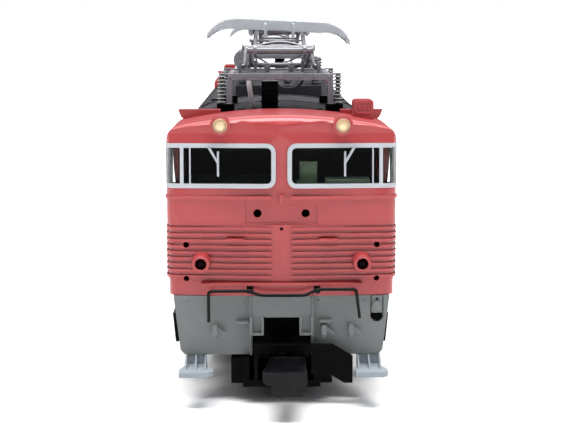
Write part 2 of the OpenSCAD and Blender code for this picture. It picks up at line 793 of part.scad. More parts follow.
module coupler_shape() {
    front = -coupler_reach;
    back = -1.3;
    // head: a flat hook, narrower behind, with a lower tab
    difference() {
        union() {
            translate([0, 0, 2.5]) linear_extrude(1.02)
                polygon([[-1.8, front], [1.75, front], [1.8, back], [-0.95, back], [-1.7, front + 1.1]]);
            block(-1.05, 1.35, front + 0.1, front + 0.6, 1.5, 2.6);
            block(0.95, 1.6, front + 0.1, front + 0.9, 2.2, 2.6);
        }
        translate([-1.8, front, 2.5]) rotate([0, 45, 0]) cube([0.45, 3, 0.45], center = true);
    }
    // shank and pivot eye
    block(-0.75, 0.75, back - 0.4, coupler_pivot_v, 2.25, 2.85);
    translate([0, coupler_pivot_v, 2.25]) cylinder(h = 0.6, r = 1.1);
}

module coupler() {
    color([0.07, 0.07, 0.08]) on_rail() at_face() translate([0, coupler_pivot_v, 0])
        rotate([0, 0, coupler_swing]) translate([0, -coupler_pivot_v, 0]) difference() {
            coupler_shape();
            translate([0, coupler_pivot_v, 1]) cylinder(h = 3, r = 0.45 + play);
        }
}

// ---- bogies --------------------------------------------------------------

module bogie_side() {
    x0 = side_frame_x;
    x1 = side_frame_x + side_frame_t;
    // side frame with its two axle boxes
    difference() {
        along_x(x0, x1) polygon([[-bogie_half + 1.2, 3.2], [-bogie_half, 4.2], [-bogie_half, 5.9],
            [-bogie_half + 1.6, 6.4], [-wheelbase / 2 + 2.6, 6.4], [-3, 5.4], [3, 5.4],
            [wheelbase / 2 - 2.6, 6.4], [bogie_half - 1.6, 6.4], [bogie_half, 5.9], [bogie_half, 4.2],
            [bogie_half - 1.2, 3.2], [wheelbase / 2 - 3.2, 3.2], [3.4, 2.6], [-3.4, 2.6],
            [-wheelbase / 2 + 3.2, 3.2]]);
        for (s = [-1, 1]) rod_x(x0 - 1, x0 + 0.6, s * wheelbase / 2, axle_z, axle_r + play);
    }
    for (s = [-1, 1]) {
        block(x1, x1 + 0.5, s * wheelbase / 2 - 1.2, s * wheelbase / 2 + 1.2, 2.7, 4.9);
        for (t = [-1, 1]) translate([x1 + 0.05, s * wheelbase / 2 + t * 2.1, 3.6])
            cylinder(h = 2.2, r = 0.55);
    }
    // bolster spring group
    block(x1, x1 + 0.7, -2.4, 2.4, 2.8, 3.2);
    for (t = [-1.3, 1.3]) translate([x1 + 0.1, t, 3.1]) cylinder(h = 2.2, r = 0.75);
    block(x0, x1 + 0.7, -2.6, 2.6, 5.2, h_bogie_top - 0.6);
}

module bogie_frame() {
    box_half = back_to_back / 2 - 0.55;
    color(plastic_black) on_rail() {
        both_sides() bogie_side();
        // transom between the wheels
        block(-side_frame_x - 0.1, side_frame_x + 0.1, -2.6, 2.6, 5, h_bogie_top);
        // gear box round the axles
        difference() {
            block(-box_half, box_half, -wheelbase / 2 - 2.6, wheelbase / 2 + 2.6, 1.6, h_bogie_top - 0.5);
            for (s = [-1, 1]) rod_x(-10, 10, s * wheelbase / 2, axle_z, axle_r + play);
        }
        // pivot pin
        translate([0, 0, h_bogie_top - 0.2]) cylinder(h = h_floor + floor_t - h_bogie_top + 0.1, r = pivot_r);
    }
}

module wheelset() {
    inner = back_to_back / 2;
    flange_w = 0.5;
    color([0.35, 0.33, 0.31]) translate([0, 0, flange_h + axle_z]) {
        rod_x(-side_frame_x - 0.35, side_frame_x + 0.35, 0, 0, axle_r);
        both_sides() translate([inner, 0, 0]) rotate([0, 90, 0]) rotate_extrude()
            polygon([[0, 0], [flange_r - 0.12, 0], [flange_r, 0.15], [flange_r - 0.15, flange_w - 0.1],
                [wheel_d / 2 + 0.1, flange_w], [wheel_d / 2, flange_w + 0.15],
                [wheel_d / 2 - 0.08, wheel_w], [wheel_d / 2 - 0.8, wheel_w],
                [wheel_d / 2 - 1.05, wheel_w - 0.4], [1.3, wheel_w - 0.4], [1.2, wheel_w], [0, wheel_w]]);
    }
}

function axle_y(i) = bogie_y[floor(i / 2)] + (i % 2 == 0 ? -1 : 1) * wheelbase / 2;

// ---- roof equipment ------------------------------------------------------

fins = 8;

module insulator(h0, h1) {
    step = (h1 - h0) / fins;
    points = [for (i = [0:fins - 1]) each [[0.22, h0 + step * (i + 0.15)], [0.37, h0 + step * (i + 0.4)],
        [0.37, h0 + step * (i + 0.62)], [0.22, h0 + step * (i + 0.85)]]];
    rotate_extrude($fn = 32) polygon(concat([[0, h0], [0.22, h0]], points, [[0.22, h1], [0, h1]]));
}

insulator_x = post_x + 0.68;
foot_top = h_roof + 0.45;

module insulators() {
    color([0.62, 0.66, 0.64]) on_rail() for (turn = [0, 180]) rotate([0, 0, turn])
        translate([0, -panto_y, 0]) for (s = [-1, 1], t = [-1, 1])
            translate([s * insulator_x, t * base_half, 0]) insulator(foot_top, h_beam + 0.5);
}

module pantograph_base() {
    color(panto_silver) on_rail() {
        for (t = [-1, 1]) {
            // cross beams and columns
            block(-post_x - 0.1, post_x + 0.1, t * base_half - 0.3, t * base_half + 0.3, h_beam,
                h_beam + beam_h);
            block(-post_x - 0.1, post_x + 0.1, t * pivot_offset - 0.3, t * pivot_offset + 0.3, h_beam,
                h_beam + beam_h - 0.1);
            for (s = [-1, 1]) {
                block(s * post_x - 0.25, s * post_x + 0.25, t * base_half - 0.3, t * base_half + 0.3,
                    foot_top, h_beam);
                // caps over the insulators
                block(s * (post_x + 0.5) - 0.42, s * (post_x + 0.5) + 0.42, t * base_half - 0.25,
                    t * base_half + 0.25, h_beam + 0.5, h_beam + beam_h + 0.05);
            }
        }
        for (s = [-1, 1]) block(s * post_x - 0.22, s * post_x + 0.22, -base_half, base_half, h_beam,
            h_beam + beam_h - 0.15);
        // bearings of the front lower arm, inside, and of the rear lower arm, on the rails
        for (s = [-1, 1]) {
            bearing(s * (front_lower_x - 0.45), pivot_offset, 0.3);
            bearing(s * (rear_lower_x + 0.42), -pivot_offset, 0.3);
        }
    }
    color(plastic_black) on_rail() {
        for (s = [-1, 1], t = [-1, 1]) difference() {
            block(s * (post_x + 0.33) - 0.76, s * (post_x + 0.33) + 0.76, t * base_half - 0.8,
                t * base_half + 0.8, h_roof - 1, foot_top);
            along_y(-base_half - 3, base_half + 3) roof_section(0, 0);
        }
        // air cylinder that raises the pantograph
        difference() {
            block(-1.65, -0.2, -base_half + 0.6, -base_half + 3.2, h_roof - 0.5, h_beam - 0.1);
            along_y(-base_half, 0) roof_section(0, 0);
        }
    }
}

module bearing(x, y, t) {
    difference() {
        block(x - t / 2, x + t / 2, y - 0.5, y + 0.5, h_beam + 0.1, h_panto_pivot + 0.45);
        rod_x(x - t, x + t, y, h_panto_pivot, shaft_r + 0.06);
    }
}

// lower arm that reaches the front knee from the rear base pivot
module lower_arm_front() {
    y0 = pivot_offset;
    y1 = pivot_offset - knee_run;
    color(panto_silver) on_rail() {
        for (s = [-1, 1]) tube(s * front_lower_x, y0, h_panto_pivot, y1, knee_z, tube_r);
        rod_x(-front_lower_x - 0.3, front_lower_x + 0.3, y0, h_panto_pivot, shaft_r);
        rod_x(-front_lower_x - 0.3, front_lower_x + 0.3, y1, knee_z, shaft_r);
    }
}

module lower_arm_rear() {
    y0 = -pivot_offset;
    y1 = -pivot_offset + knee_run;
    color(panto_silver) on_rail() {
        for (s = [-1, 1]) {
            tube(s * rear_lower_x, y0, h_panto_pivot, y1, knee_z, tube_r);
            rod_x(s * (rear_lower_x + 0.3) - 0.32, s * (rear_lower_x + 0.3) + 0.32, y0, h_panto_pivot, shaft_r);
        }
        rod_x(-rear_lower_x - 0.3, rear_lower_x + 0.3, y1, knee_z, shaft_r);
    }
}

module eye(x, y, z) {
    difference() {
        rod_x(x - lug_t / 2, x + lug_t / 2, y, z, shaft_r + 0.25);
        rod_x(x - 1, x + 1, y, z, shaft_r + 0.06);
    }
}

module upper_arm_front() {
    y0 = pivot_offset - knee_run;
    y1 = pivot_offset;
    color(panto_silver) on_rail() {
        difference() {
            for (s = [-1, 1]) {
                tube(s * front_upper_x, y0, knee_z, y1, top_z, tube_r);
                rod_x(s * front_upper_x - lug_t / 2, s * front_upper_x + lug_t / 2, y0, knee_z, shaft_r + 0.25);
            }
            rod_x(-5, 5, y0, knee_z, shaft_r + 0.06);
        }
        for (s = [-1, 1])
            rod_x(s * (front_upper_x + 0.3) - 0.4, s * (front_upper_x + 0.3) + 0.4, y1, top_z, shaft_r);
        rod_x(-front_upper_x, front_upper_x, y0 + 1.2, knee_z + 1.2 * tan(arm_angle), tube_r);
    }
}

module upper_arm_rear() {
    y0 = -pivot_offset + knee_run;
    y1 = -pivot_offset;
    color(panto_silver) on_rail() {
        difference() {
            for (s = [-1, 1]) {
                tube(s * rear_upper_x, y0, knee_z, y1, top_z, tube_r);
                rod_x(s * rear_upper_x - lug_t / 2, s * rear_upper_x + lug_t / 2, y0, knee_z, shaft_r + 0.25);
            }
            rod_x(-5, 5, y0, knee_z, shaft_r + 0.06);
        }
        rod_x(-rear_upper_x, rear_upper_x, y1, top_z, shaft_r);
    }
}

horn_drop = 1.65;
horn_t = 0.42;
head_flat = 3.9;
strip_t = 0.7;
head_roll = 2.4;                     // the head rests a little to one side
strip_z = top_z + 1.12;
head_x = front_upper_x + 0.45;
head_front_x = rear_upper_x - 0.5;

// a contact strip with its down-curved horns, t thick in the middle
module strip_outline(t) {
    dx = head_w / 2 - head_flat;
    r = (dx * dx + horn_drop * horn_drop) / (2 * horn_drop);
    end = asin(dx / r);
    over = arc(head_flat, -r, r, 90, 90 - end, 6);
    under = [for (i = [6:-1:0]) over[i] - [0, t + (horn_t - t) * i / 6]];
    polygon(concat(flipped(over), [for (i = [1:6]) over[i]], [for (i = [0:6]) under[i]],
        flipped([for (i = [0:6]) under[i]])));
}

module contact_strip(y0, y1, t) {
    along_y(y0, y1) translate([0, strip_z]) rotate([0, 0, -head_roll]) strip_outline(t);
}

module collector_head() {
    color(panto_silver) on_rail() {
        for (s = [-1, 1]) {
            contact_strip(s * 1.75 - 0.45, s * 1.75 + 0.45, strip_t);
            contact_strip(s * 2.14 - 0.06, s * 2.14 + 0.06, strip_t + 0.35);
            // cross frame and the lugs on the arm ends
            block(s * head_x - 0.15, s * head_x + 0.15, -1.9, 1.9, strip_z - 0.65, strip_z - 0.35);
            difference() {
                block(s * head_x - 0.15, s * head_x + 0.15, pivot_offset - 0.42, pivot_offset + 0.42,
                    top_z - 0.42, strip_z - 0.35);
                rod_x(-5, 5, pivot_offset, top_z, shaft_r + 0.06);
            }
            difference() {
                block(s * head_front_x - 0.15, s * head_front_x + 0.15, -pivot_offset - 0.46,
                    -pivot_offset + 0.46, top_z - 0.48, strip_z - 0.35);
                rod_x(-5, 5, -pivot_offset, top_z, shaft_r + 0.1);
            }
        }
    }
}

module panto_place(end) { rotate([0, 0, end * 180]) translate([0, -panto_y, 0]) children(); }

// ---- nodes ---------------------------------------------------------------

chassis_frame();
motor_and_weight();
cab_shell();  // cab_shell_a
end_b() cab_shell();  // cab_shell_b
side_wall();  // side_right
end_b() side_wall();  // side_left
roof_shell();
roof_hood();
high_voltage_gear();
window_frames();  // window_frames_a
end_b() window_frames();  // window_frames_b
cab_glass();  // cab_glass_a
end_b() cab_glass();  // cab_glass_b
machine_room_glass();
headlight_lenses();
tail_light_lenses();
wipers();  // wipers_a
end_b() wipers();  // wipers_b
cab_interior();  // cab_interior_a
end_b() cab_interior();  // cab_interior_b
whistle_covers();
skirt();  // skirt_a
end_b() skirt();  // skirt_b
guard_plate();  // guard_plate_a
end_b() guard_plate();  // guard_plate_b
skirt_steps();
brake_cocks();
uncoupling_lever();  // uncoupling_lever_a
end_b() uncoupling_lever();  // uncoupling_lever_b
jumper_sockets();
cab_steps();
equipment_boxes();
coupler_pocket();  // coupler_pocket_a
end_b() coupler_pocket();  // coupler_pocket_b
coupler();  // coupler_a
end_b() coupler();  // coupler_b
translate([0, bogie_y[0], 0]) bogie_frame();  // bogie_frame_a
translate([0, bogie_y[1], 0]) bogie_frame();  // bogie_frame_middle
translate([0, bogie_y[2], 0]) bogie_frame();  // bogie_frame_b
translate([0, axle_y(0), 0]) wheelset();  // wheelset_1
translate([0, axle_y(1), 0]) wheelset();  // wheelset_2
translate([0, axle_y(2), 0]) wheelset();  // wheelset_3
translate([0, axle_y(3), 0]) wheelset();  // wheelset_4
translate([0, axle_y(4), 0]) wheelset();  // wheelset_5
translate([0, axle_y(5), 0]) wheelset();  // wheelset_6
insulators();
panto_place(0) pantograph_base();  // pantograph_base_a
panto_place(1) pantograph_base();  // pantograph_base_b
panto_place(0) lower_arm_front();  // lower_arm_front_a
panto_place(0) upper_arm_front();  // upper_arm_front_a
panto_place(0) lower_arm_rear();  // lower_arm_rear_a
panto_place(0) upper_arm_rear();  // upper_arm_rear_a
panto_place(0) collector_head();  // collector_head_a
panto_place(1) lower_arm_front();  // lower_arm_front_b
panto_place(1) upper_arm_front();  // upper_arm_front_b
panto_place(1) lower_arm_rear();  // lower_arm_rear_b
panto_place(1) upper_arm_rear();  // upper_arm_rear_b
panto_place(1) collector_head();  // collector_head_b
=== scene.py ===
"""Looks of a six-axle electric locomotive model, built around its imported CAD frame. Metres."""
import math

import bmesh
import bpy
from mathutils import Matrix, Vector


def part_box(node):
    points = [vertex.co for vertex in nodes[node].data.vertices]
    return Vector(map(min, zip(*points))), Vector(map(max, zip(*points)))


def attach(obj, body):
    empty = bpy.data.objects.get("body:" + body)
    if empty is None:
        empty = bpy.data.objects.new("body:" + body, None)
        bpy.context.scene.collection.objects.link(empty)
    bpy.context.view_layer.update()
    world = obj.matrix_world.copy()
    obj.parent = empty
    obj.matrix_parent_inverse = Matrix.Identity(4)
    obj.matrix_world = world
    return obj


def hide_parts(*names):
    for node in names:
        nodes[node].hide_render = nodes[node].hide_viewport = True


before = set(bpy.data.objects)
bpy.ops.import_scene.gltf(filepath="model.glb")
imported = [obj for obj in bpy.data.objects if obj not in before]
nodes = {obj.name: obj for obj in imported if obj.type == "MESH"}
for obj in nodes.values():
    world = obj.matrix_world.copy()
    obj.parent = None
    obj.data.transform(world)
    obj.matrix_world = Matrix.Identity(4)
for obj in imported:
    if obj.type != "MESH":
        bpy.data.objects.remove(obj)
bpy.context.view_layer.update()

MM = 0.001
HALF_TURN = Matrix.Rotation(math.pi, 3, "Z")

# ---- materials -------------------------------------------------------------


def ramp(tree, value, low, high, start, end):
    """A number from low to high, as value goes from start to end."""
    node = tree.nodes.new("ShaderNodeMapRange")
    for key, number in (("From Min", start), ("From Max", end), ("To Min", low), ("To Max", high)):
        node.inputs[key].default_value = number
    tree.links.new(value, node.inputs["Value"])
    return node.outputs["Result"]


class Graph:
    """Short calls for building a material's node tree."""

    def __init__(self, name):
        self.mat = bpy.data.materials.new(name)
        self.mat.use_nodes = True
        self.tree = self.mat.node_tree
        self.tree.nodes.clear()
        self.out = self.add("ShaderNodeOutputMaterial")
        self.coords = self.add("ShaderNodeTexCoord").outputs["Object"]

    def add(self, kind, **values):
        node = self.tree.nodes.new(kind)
        for key, value in values.items():
            setattr(node, key, value)
        return node

    def link(self, a, b):
        self.tree.links.new(a, b)

    def noise(self, scale, detail=3.0, rough=0.55, stretch=None):
        node = self.add("ShaderNodeTexNoise")
        node.inputs["Scale"].default_value = scale
        node.inputs["Detail"].default_value = detail
        node.inputs["Roughness"].default_value = rough
        source = self.coords
        if stretch:
            mapping = self.add("ShaderNodeMapping")
            mapping.inputs["Scale"].default_value = stretch
            self.link(source, mapping.inputs["Vector"])
            source = mapping.outputs["Vector"]
        self.link(source, node.inputs["Vector"])
        return node.outputs["Fac"]

    def spread(self, value, low, high, start=0.3, end=0.7):
        return ramp(self.tree, value, low, high, start, end)

    def mix(self, factor, a, b):
        node = self.add("ShaderNodeMix", data_type="RGBA")
        self.link(factor, node.inputs[0])
        for socket, value in ((node.inputs[6], a), (node.inputs[7], b)):
            if isinstance(value, tuple):
                socket.default_value = (*value, 1)
            else:
                self.link(value, socket)
        return node.outputs[2]

    def rounded(self, radius):
        node = self.add("ShaderNodeBevel", samples=4)
        node.inputs["Radius"].default_value = radius
        return node.outputs["Normal"]

    def edges(self, normal):
        """1 on sharp edges, 0 on flats."""
        geometry = self.add("ShaderNodeNewGeometry")
        dot = self.add("ShaderNodeVectorMath", operation="DOT_PRODUCT")
        self.link(normal, dot.inputs[0])
        self.link(geometry.outputs["Normal"], dot.inputs[1])
        return self.spread(dot.outputs["Value"], 1, 0, 0.75, 0.98)

    def bump(self, height, distance, normal=None):
        node = self.add("ShaderNodeBump")
        node.inputs["Strength"].default_value = 1.0
        node.inputs["Distance"].default_value = distance
        self.link(height, node.inputs["Height"])
        if normal:
            self.link(normal, node.inputs["Normal"])
        return node.outputs["Normal"]


def shade(colour, factor):
    return tuple(min(1.0, c * factor) for c in colour)


def painted(name, colour, rough=0.4, metallic=0.0, edge=1.25, vary=0.10, grain=9000, depth=2.5e-6,
            radius=5e-5, coat=0.0, stretch=None, gloss=0.3):
    """Moulded or painted surface: cloudy tone, fine grain, painted highlights along its sharp edges, uneven
    gloss.
    """
    g = Graph(name)
    shader = g.add("ShaderNodeBsdfPrincipled")
    normal = g.rounded(radius)
    broad = g.noise(180, 4)
    fine = g.noise(grain, 2, 0.6, stretch)
    tone = g.mix(g.spread(broad, 0, 1), shade(colour, 1 - vary), shade(colour, 1 + vary))
    tone = g.mix(g.spread(fine, 0, 0.25), tone, shade(colour, 1 - 2.5 * vary))
    # painted highlight: sharp edges are painted lighter by the edge factor, as if light caught them
    tone = g.mix(g.edges(normal), tone, shade(colour, edge))
    g.link(tone, shader.inputs["Base Color"])
    g.link(g.spread(g.noise(700, 3), rough - 0.06, rough + 0.08), shader.inputs["Roughness"])
    shader.inputs["Metallic"].default_value = metallic
    shader.inputs["Specular IOR Level"].default_value = gloss
    shader.inputs["Coat Weight"].default_value = coat
    shader.inputs["Coat Roughness"].default_value = 0.12
    surface = g.bump(fine, depth, normal)
    g.link(surface, shader.inputs["Normal"])
    g.link(surface, shader.inputs["Coat Normal"])
    g.link(shader.outputs["BSDF"], g.out.inputs["Surface"])
    return g.mat


def glazing(name):
    """Tinted clear plastic: seen through, with gloss that grows towards its rim."""
    g = Graph(name)
    clear = g.add("ShaderNodeBsdfTransparent")
    tint = g.mix(g.spread(g.noise(300, 2), 0, 1), (0.86, 0.89, 0.87), (0.90, 0.93, 0.91))
    g.link(tint, clear.inputs["Color"])
    gloss = g.add("ShaderNodeBsdfGlossy")
    gloss.inputs["Color"].default_value = (1, 1, 1, 1)
    g.link(g.spread(g.noise(900, 3), 0.02, 0.06), gloss.inputs["Roughness"])
    g.link(g.bump(g.noise(260, 2), 3e-6), gloss.inputs["Normal"])
    fresnel = g.add("ShaderNodeFresnel")
    fresnel.inputs["IOR"].default_value = 1.45
    mix = g.add("ShaderNodeMixShader")
    g.link(fresnel.outputs["Fac"], mix.inputs["Fac"])
    g.link(clear.outputs["BSDF"], mix.inputs[1])
    g.link(gloss.outputs["BSDF"], mix.inputs[2])
    g.link(mix.outputs["Shader"], g.out.inputs["Surface"])
    return g.mat


# edge: how much lighter sharp edges are painted, a painted highlight; strongest on the black plastic, the
# coupler and the insulators
MATERIALS = {
    "body_red": painted("paint_red", (0.32, 0.036, 0.039), 0.42, edge=1.6, vary=0.05, gloss=0.25, coat=0.42),
    "roof_grey": painted("paint_roof_grey", (0.020, 0.019, 0.023), 0.5, edge=2.2, vary=0.12, gloss=0.15),
    "chassis_black": painted("plastic_black", (0.0018, 0.0018, 0.0019), 0.30, edge=8.0, vary=0.15,
                             gloss=0.025),
    "weight_metal": painted("cast_weight", (0.06, 0.06, 0.065), 0.5, 0.7, vary=0.2),
    "skirt_grey": painted("paint_skirt_grey", (0.15, 0.16, 0.16), 0.5, edge=1.5, vary=0.06, gloss=0.2),
    "step_grey": painted("paint_step_grey", (0.23, 0.26, 0.285), 0.45, edge=1.3, vary=0.06, gloss=0.2),
    "frame_silver": painted("paint_frame_silver", (0.37, 0.385, 0.415), 0.4, edge=1.2, vary=0.05),
    "window_glass": glazing("glass_window"),
    "headlight_lens": painted("lens_warm", (0.80, 0.62, 0.36), 0.15, edge=1.1, vary=0.08, coat=0.8),
    "tail_light_lens": painted("lens_dark_red", (0.006, 0.001, 0.001), 0.2, edge=2.0, gloss=0.03),
    "interior_green": painted("plastic_green", (0.70, 0.86, 0.62), 0.5, vary=0.03),
    "insulator_green": painted("ceramic_insulator", (0.035, 0.042, 0.040), 0.28, edge=9.0, coat=0.2),
    "wheel_metal": painted("metal_wheel", (0.13, 0.12, 0.115), 0.36, 0.85, edge=2.0, vary=0.15),
    "pantograph_metal": painted("metal_pantograph", (0.19, 0.19, 0.205), 0.40, 0.5, edge=2.0, vary=0.08),
}
STRIP = painted("metal_contact_strip", (0.36, 0.38, 0.41), 0.34, 0.3, edge=1.6, vary=0.08,
                stretch=(0.1, 1, 1), radius=2e-4)
BASE_METAL = painted("metal_base_frame", (0.17, 0.17, 0.19), 0.42, 0.3, edge=2.2, vary=0.12, radius=1e-4)
COUPLER = painted("plastic_coupler", (0.003, 0.003, 0.004), 0.20, edge=10.0, vary=0.3, gloss=0.12)
# black for the thin sheets inside the cab: painted shade
SHADE_BLACK = painted("cab_painted_shade", (0.012, 0.013, 0.012), 0.7, edge=2.0, vary=0.2)
GLOSS = painted("wire_black_gloss", (0.0015, 0.0015, 0.0015), 0.2, edge=1.0, gloss=0.12)
GLAZE = painted("ceramic_pale_rim", (0.42, 0.44, 0.44), 0.25, edge=1.2, vary=0.06, coat=0.5)
CREAM = painted("hose_pale_grey", (0.52, 0.53, 0.55), 0.5, edge=1.2, vary=0.08)

for obj in nodes.values():
    for slot in obj.material_slots:
        slot.material = MATERIALS[slot.material.name.split(".")[0]]
for obj in nodes.values():
    # clean shading: flats stay flat beside their rounded corners
    weld = obj.modifiers.new("weld", "WELD")
    weld.merge_threshold = 1e-6
    flat = obj.modifiers.new("flat", "DECIMATE")
    flat.decimate_type = "DISSOLVE"
    flat.angle_limit = math.radians(0.5)
    split = obj.modifiers.new("split", "EDGE_SPLIT")
    split.split_angle = math.radians(32)
    obj.modifiers.new("normals", "WEIGHTED_NORMAL").weight = 90
for end in "ab":
    nodes["collector_head_" + end].material_slots[0].material = STRIP
    nodes["pantograph_base_" + end].material_slots[0].material = BASE_METAL
    nodes["coupler_" + end].material_slots[0].material = COUPLER

# ---- shapes in millimetres, heights above the rail --------------------------

RAIL = 0.7
BODY = "locomotive"


def arc_points(cx, cy, radius, start, end, count):
    angles = [math.radians(start + (end - start) * i / count) for i in range(count + 1)]
    return [(cx + radius * math.cos(a), cy + radius * math.sin(a)) for a in angles]


def round_rect(x0, x1, z0, z1, radius, count=4):
    return (arc_points(x1 - radius, z1 - radius, radius, 0, 90, count)
            + arc_points(x0 + radius, z1 - radius, radius, 90, 180, count)
            + arc_points(x0 + radius, z0 + radius, radius, 180, 270, count)
            + arc_points(x1 - radius, z0 + radius, radius, 270, 360, count))


def smooth_path(points, radius, count=5):
    """A path with its corners rounded."""
    points = [Vector(p) for p in points]
    out = [points[0]]
    for before, corner, after in zip(points, points[1:], points[2:]):
        a = (before - corner).normalized() * min(radius, (before - corner).length / 2)
        b = (after - corner).normalized() * min(radius, (after - corner).length / 2)
        for i in range(count + 1):
            t = i / count
            out.append((1 - t) ** 2 * (corner + a) + 2 * t * (1 - t) * corner + t * t * (corner + b))
    return out + [points[-1]]


def circle(cx, cy, radius, count):
    angles = [2 * math.pi * i / count for i in range(count)]
    return [(cx + radius * math.cos(a), cy + radius * math.sin(a)) for a in angles]


def place(axis, along, u, v):
    """A point from its distance along an axis and its two other coordinates."""
    return {"x": (along, u, v), "y": (u, along, v), "z": (u, v, along)}[axis]


class Shape:
    """Collects the solids of one piece."""

    def __init__(self):
        self.bm = bmesh.new()

    def loft(self, rings, closed=False):
        """A skin over rings of as many points, capped at its ends or closed to a loop."""
        rows = [[self.bm.verts.new(p) for p in ring] for ring in rings]
        count = len(rows[0])
        pairs = list(zip(rows, rows[1:])) + ([(rows[-1], rows[0])] if closed else [])
        for a, b in pairs:
            for i in range(count):
                self.bm.faces.new((a[i], a[(i + 1) % count], b[(i + 1) % count], b[i]))
        if not closed:
            self.bm.faces.new(rows[0][::-1])
            self.bm.faces.new(rows[-1])

    def block(self, x0, x1, y0, y1, z0, z1):
        self.loft([[(x0, y0, z), (x1, y0, z), (x1, y1, z), (x0, y1, z)] for z in (z0, z1)])

    def prism(self, outline, axis, a, b):
        self.loft([[place(axis, t, u, v) for u, v in outline] for t in (a, b)])

    def rim(self, outer, inner, axis, a, b):
        """A frame between two outlines with as many points."""
        self.loft([[place(axis, t, u, v) for u, v in outline]
                   for outline, t in ((outer, a), (outer, b), (inner, b), (inner, a))], closed=True)

    def turned(self, profile, axis, centre, count=20):
        """profile: (distance along the axis, radius)."""
        centre = Vector(centre)
        self.loft([[centre + Vector(place(axis, along, radius * math.cos(t), radius * math.sin(t)))
                    for t in (2 * math.pi * i / count for i in range(count))] for along, radius in profile])

    def tube(self, path, radius, count=8):
        """A round bar along a path."""
        path = [Vector(p) for p in path]
        normal = None
        rings = []
        for i, point in enumerate(path):
            along = (path[min(i + 1, len(path) - 1)] - path[max(i - 1, 0)]).normalized()
            if normal is None:
                normal = along.orthogonal().normalized()
            normal = (normal - along * normal.dot(along)).normalized()
            side = along.cross(normal)
            rings.append([point + radius * (math.cos(t) * normal + math.sin(t) * side)
                          for t in (2 * math.pi * k / count for k in range(count))])
        self.loft(rings)

    def coil(self, start, end, radius, wire, turns, steps=14):
        """A coil spring from start to end."""
        start, end = Vector(start), Vector(end)
        along = (end - start).normalized()
        u = along.orthogonal().normalized()
        w = along.cross(u)
        total = int(turns * steps)
        path = [start.lerp(end, i / total) + radius * (math.cos(2 * math.pi * i / steps) * u
                + math.sin(2 * math.pi * i / steps) * w) for i in range(total + 1)]
        self.tube(path, wire, 6)

    def bolt(self, axis, centre, radius, height):
        self.turned([(0, radius), (height * 0.7, radius), (height, radius * 0.7)], axis, centre, 6)

    def doubled(self):
        """Adds everything again, and gives the corners of the copy."""
        copy = bmesh.ops.duplicate(self.bm, geom=self.bm.verts[:] + self.bm.edges[:] + self.bm.faces[:])
        return [part for part in copy["geom"] if isinstance(part, bmesh.types.BMVert)]

    def turn(self):
        """Adds the same again at the other end."""
        bmesh.ops.rotate(self.bm, verts=self.doubled(), matrix=HALF_TURN)
        return self

    def mirror(self):
        """Adds the mirror image over X."""
        bmesh.ops.scale(self.bm, verts=self.doubled(), vec=(-1, 1, 1))
        return self

    def make(self, name, slot, body=BODY, bevel=0.025, material=None, flip=False):
        """Makes the piece in metres, riding on its body. flip puts it at the other end."""
        bm = self.bm.copy()
        if flip:
            bmesh.ops.rotate(bm, verts=bm.verts, matrix=HALF_TURN)
        bmesh.ops.translate(bm, verts=bm.verts, vec=Vector((0, 0, RAIL)))
        bmesh.ops.scale(bm, verts=bm.verts, vec=(MM, MM, MM))
        bmesh.ops.recalc_face_normals(bm, faces=bm.faces)
        mesh = bpy.data.meshes.new(name)
        bm.to_mesh(mesh)
        bm.free()
        mesh.shade_smooth()
        obj = bpy.data.objects.new(name, mesh)
        bpy.context.scene.collection.objects.link(obj)
        mesh.materials.append(material or MATERIALS[slot])
        if bevel:
            modifier = obj.modifiers.new("edges", "BEVEL")
            modifier.width = bevel * MM
            modifier.segments = 2
            modifier.angle_limit = math.radians(40)
        obj.modifiers.new("normals", "WEIGHTED_NORMAL").keep_sharp = True
        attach(obj, body)
        return obj

    def make_at(self, end, name, slot, **extra):
        """Makes the piece for end a, or for end b turned half round."""
        return self.make(name + "_" + end, slot, flip=end == "b", **extra)


# ---- sizes that the details hang on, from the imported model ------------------


def span(node):
    """Lowest and highest corner of a node, in mm, its height above the rail."""
    low, high = (Vector(corner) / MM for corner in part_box(node))
    return low - Vector((0, 0, RAIL)), high - Vector((0, 0, RAIL))


FACE = span("headlight_lenses")[0].y + 0.02       # plane of the face at end a
HALF_W = span("side_right")[1].x - 0.12           # plane of a side wall
GUTTER = span("side_right")[1].z                  # top of a side wall
ROOF = span("roof_shell")[1].z
ROOF_R = 30                                       # radius of its curve
HOOD = span("roof_hood")[1].z
CAB_END = span("cab_shell_a")[1].y
CAB_WINDOW = FACE + 4.8                           # middle of a cab's side window
DOOR = FACE + 9.25                                # middle of a cab door
HEADLIGHT_X = 5.05
HEADLIGHT_Z = 22.6
TAIL_X = 6.7
TAIL_Z = 11.2
WALKWAY_X = 6.9

PIVOT = 26.9                                      # height of a pantograph's main pivots
BEAM = PIVOT - 1.1                                # underside of its base beams
PANTO_Y = (span("pantograph_base_a")[0].y + span("pantograph_base_a")[1].y) / 2
BASE_HALF = 7                                     # from its middle to the end beams
BASE_FACE = 7.3                                   # and to their outer faces
PIVOT_Y = 1.8                                     # and to its main pivots
ARM_RUN = 9.3 * math.cos(math.radians(10))        # what an arm spans along Y
KNEE = span("lower_arm_front_a")[1].z - 0.25
HEAD = PIVOT + 2 * (KNEE - PIVOT)                 # height of the collector head's pivots

AXLE_Z = 7.47 / 2                                 # half a wheel's diameter
AXLE_Y = 16.67 / 2                                # from a bogie's middle to an axle
BOGIE_FACE = 6.2 + 1.1                            # outer face of a bogie's side frame


def roof_height(x, lift=0.0):
    """Height of the machine room roof at x."""
    return ROOF - ROOF_R + math.sqrt((ROOF_R + lift) ** 2 - x * x)


def eaves_height(x, lift):
    """The same, bent down beyond the walkways."""
    edge = min(abs(x), WALKWAY_X)
    return roof_height(edge, lift) - 0.22 * max(0.0, abs(x) - WALKWAY_X) ** 2


def height_on(y, ya, yb, za, zb):
    """Height at y on the line from (ya, za) to (yb, zb)."""
    return za + (zb - za) * (y - ya) / (yb - ya)


# ---- body -------------------------------------------------------------------

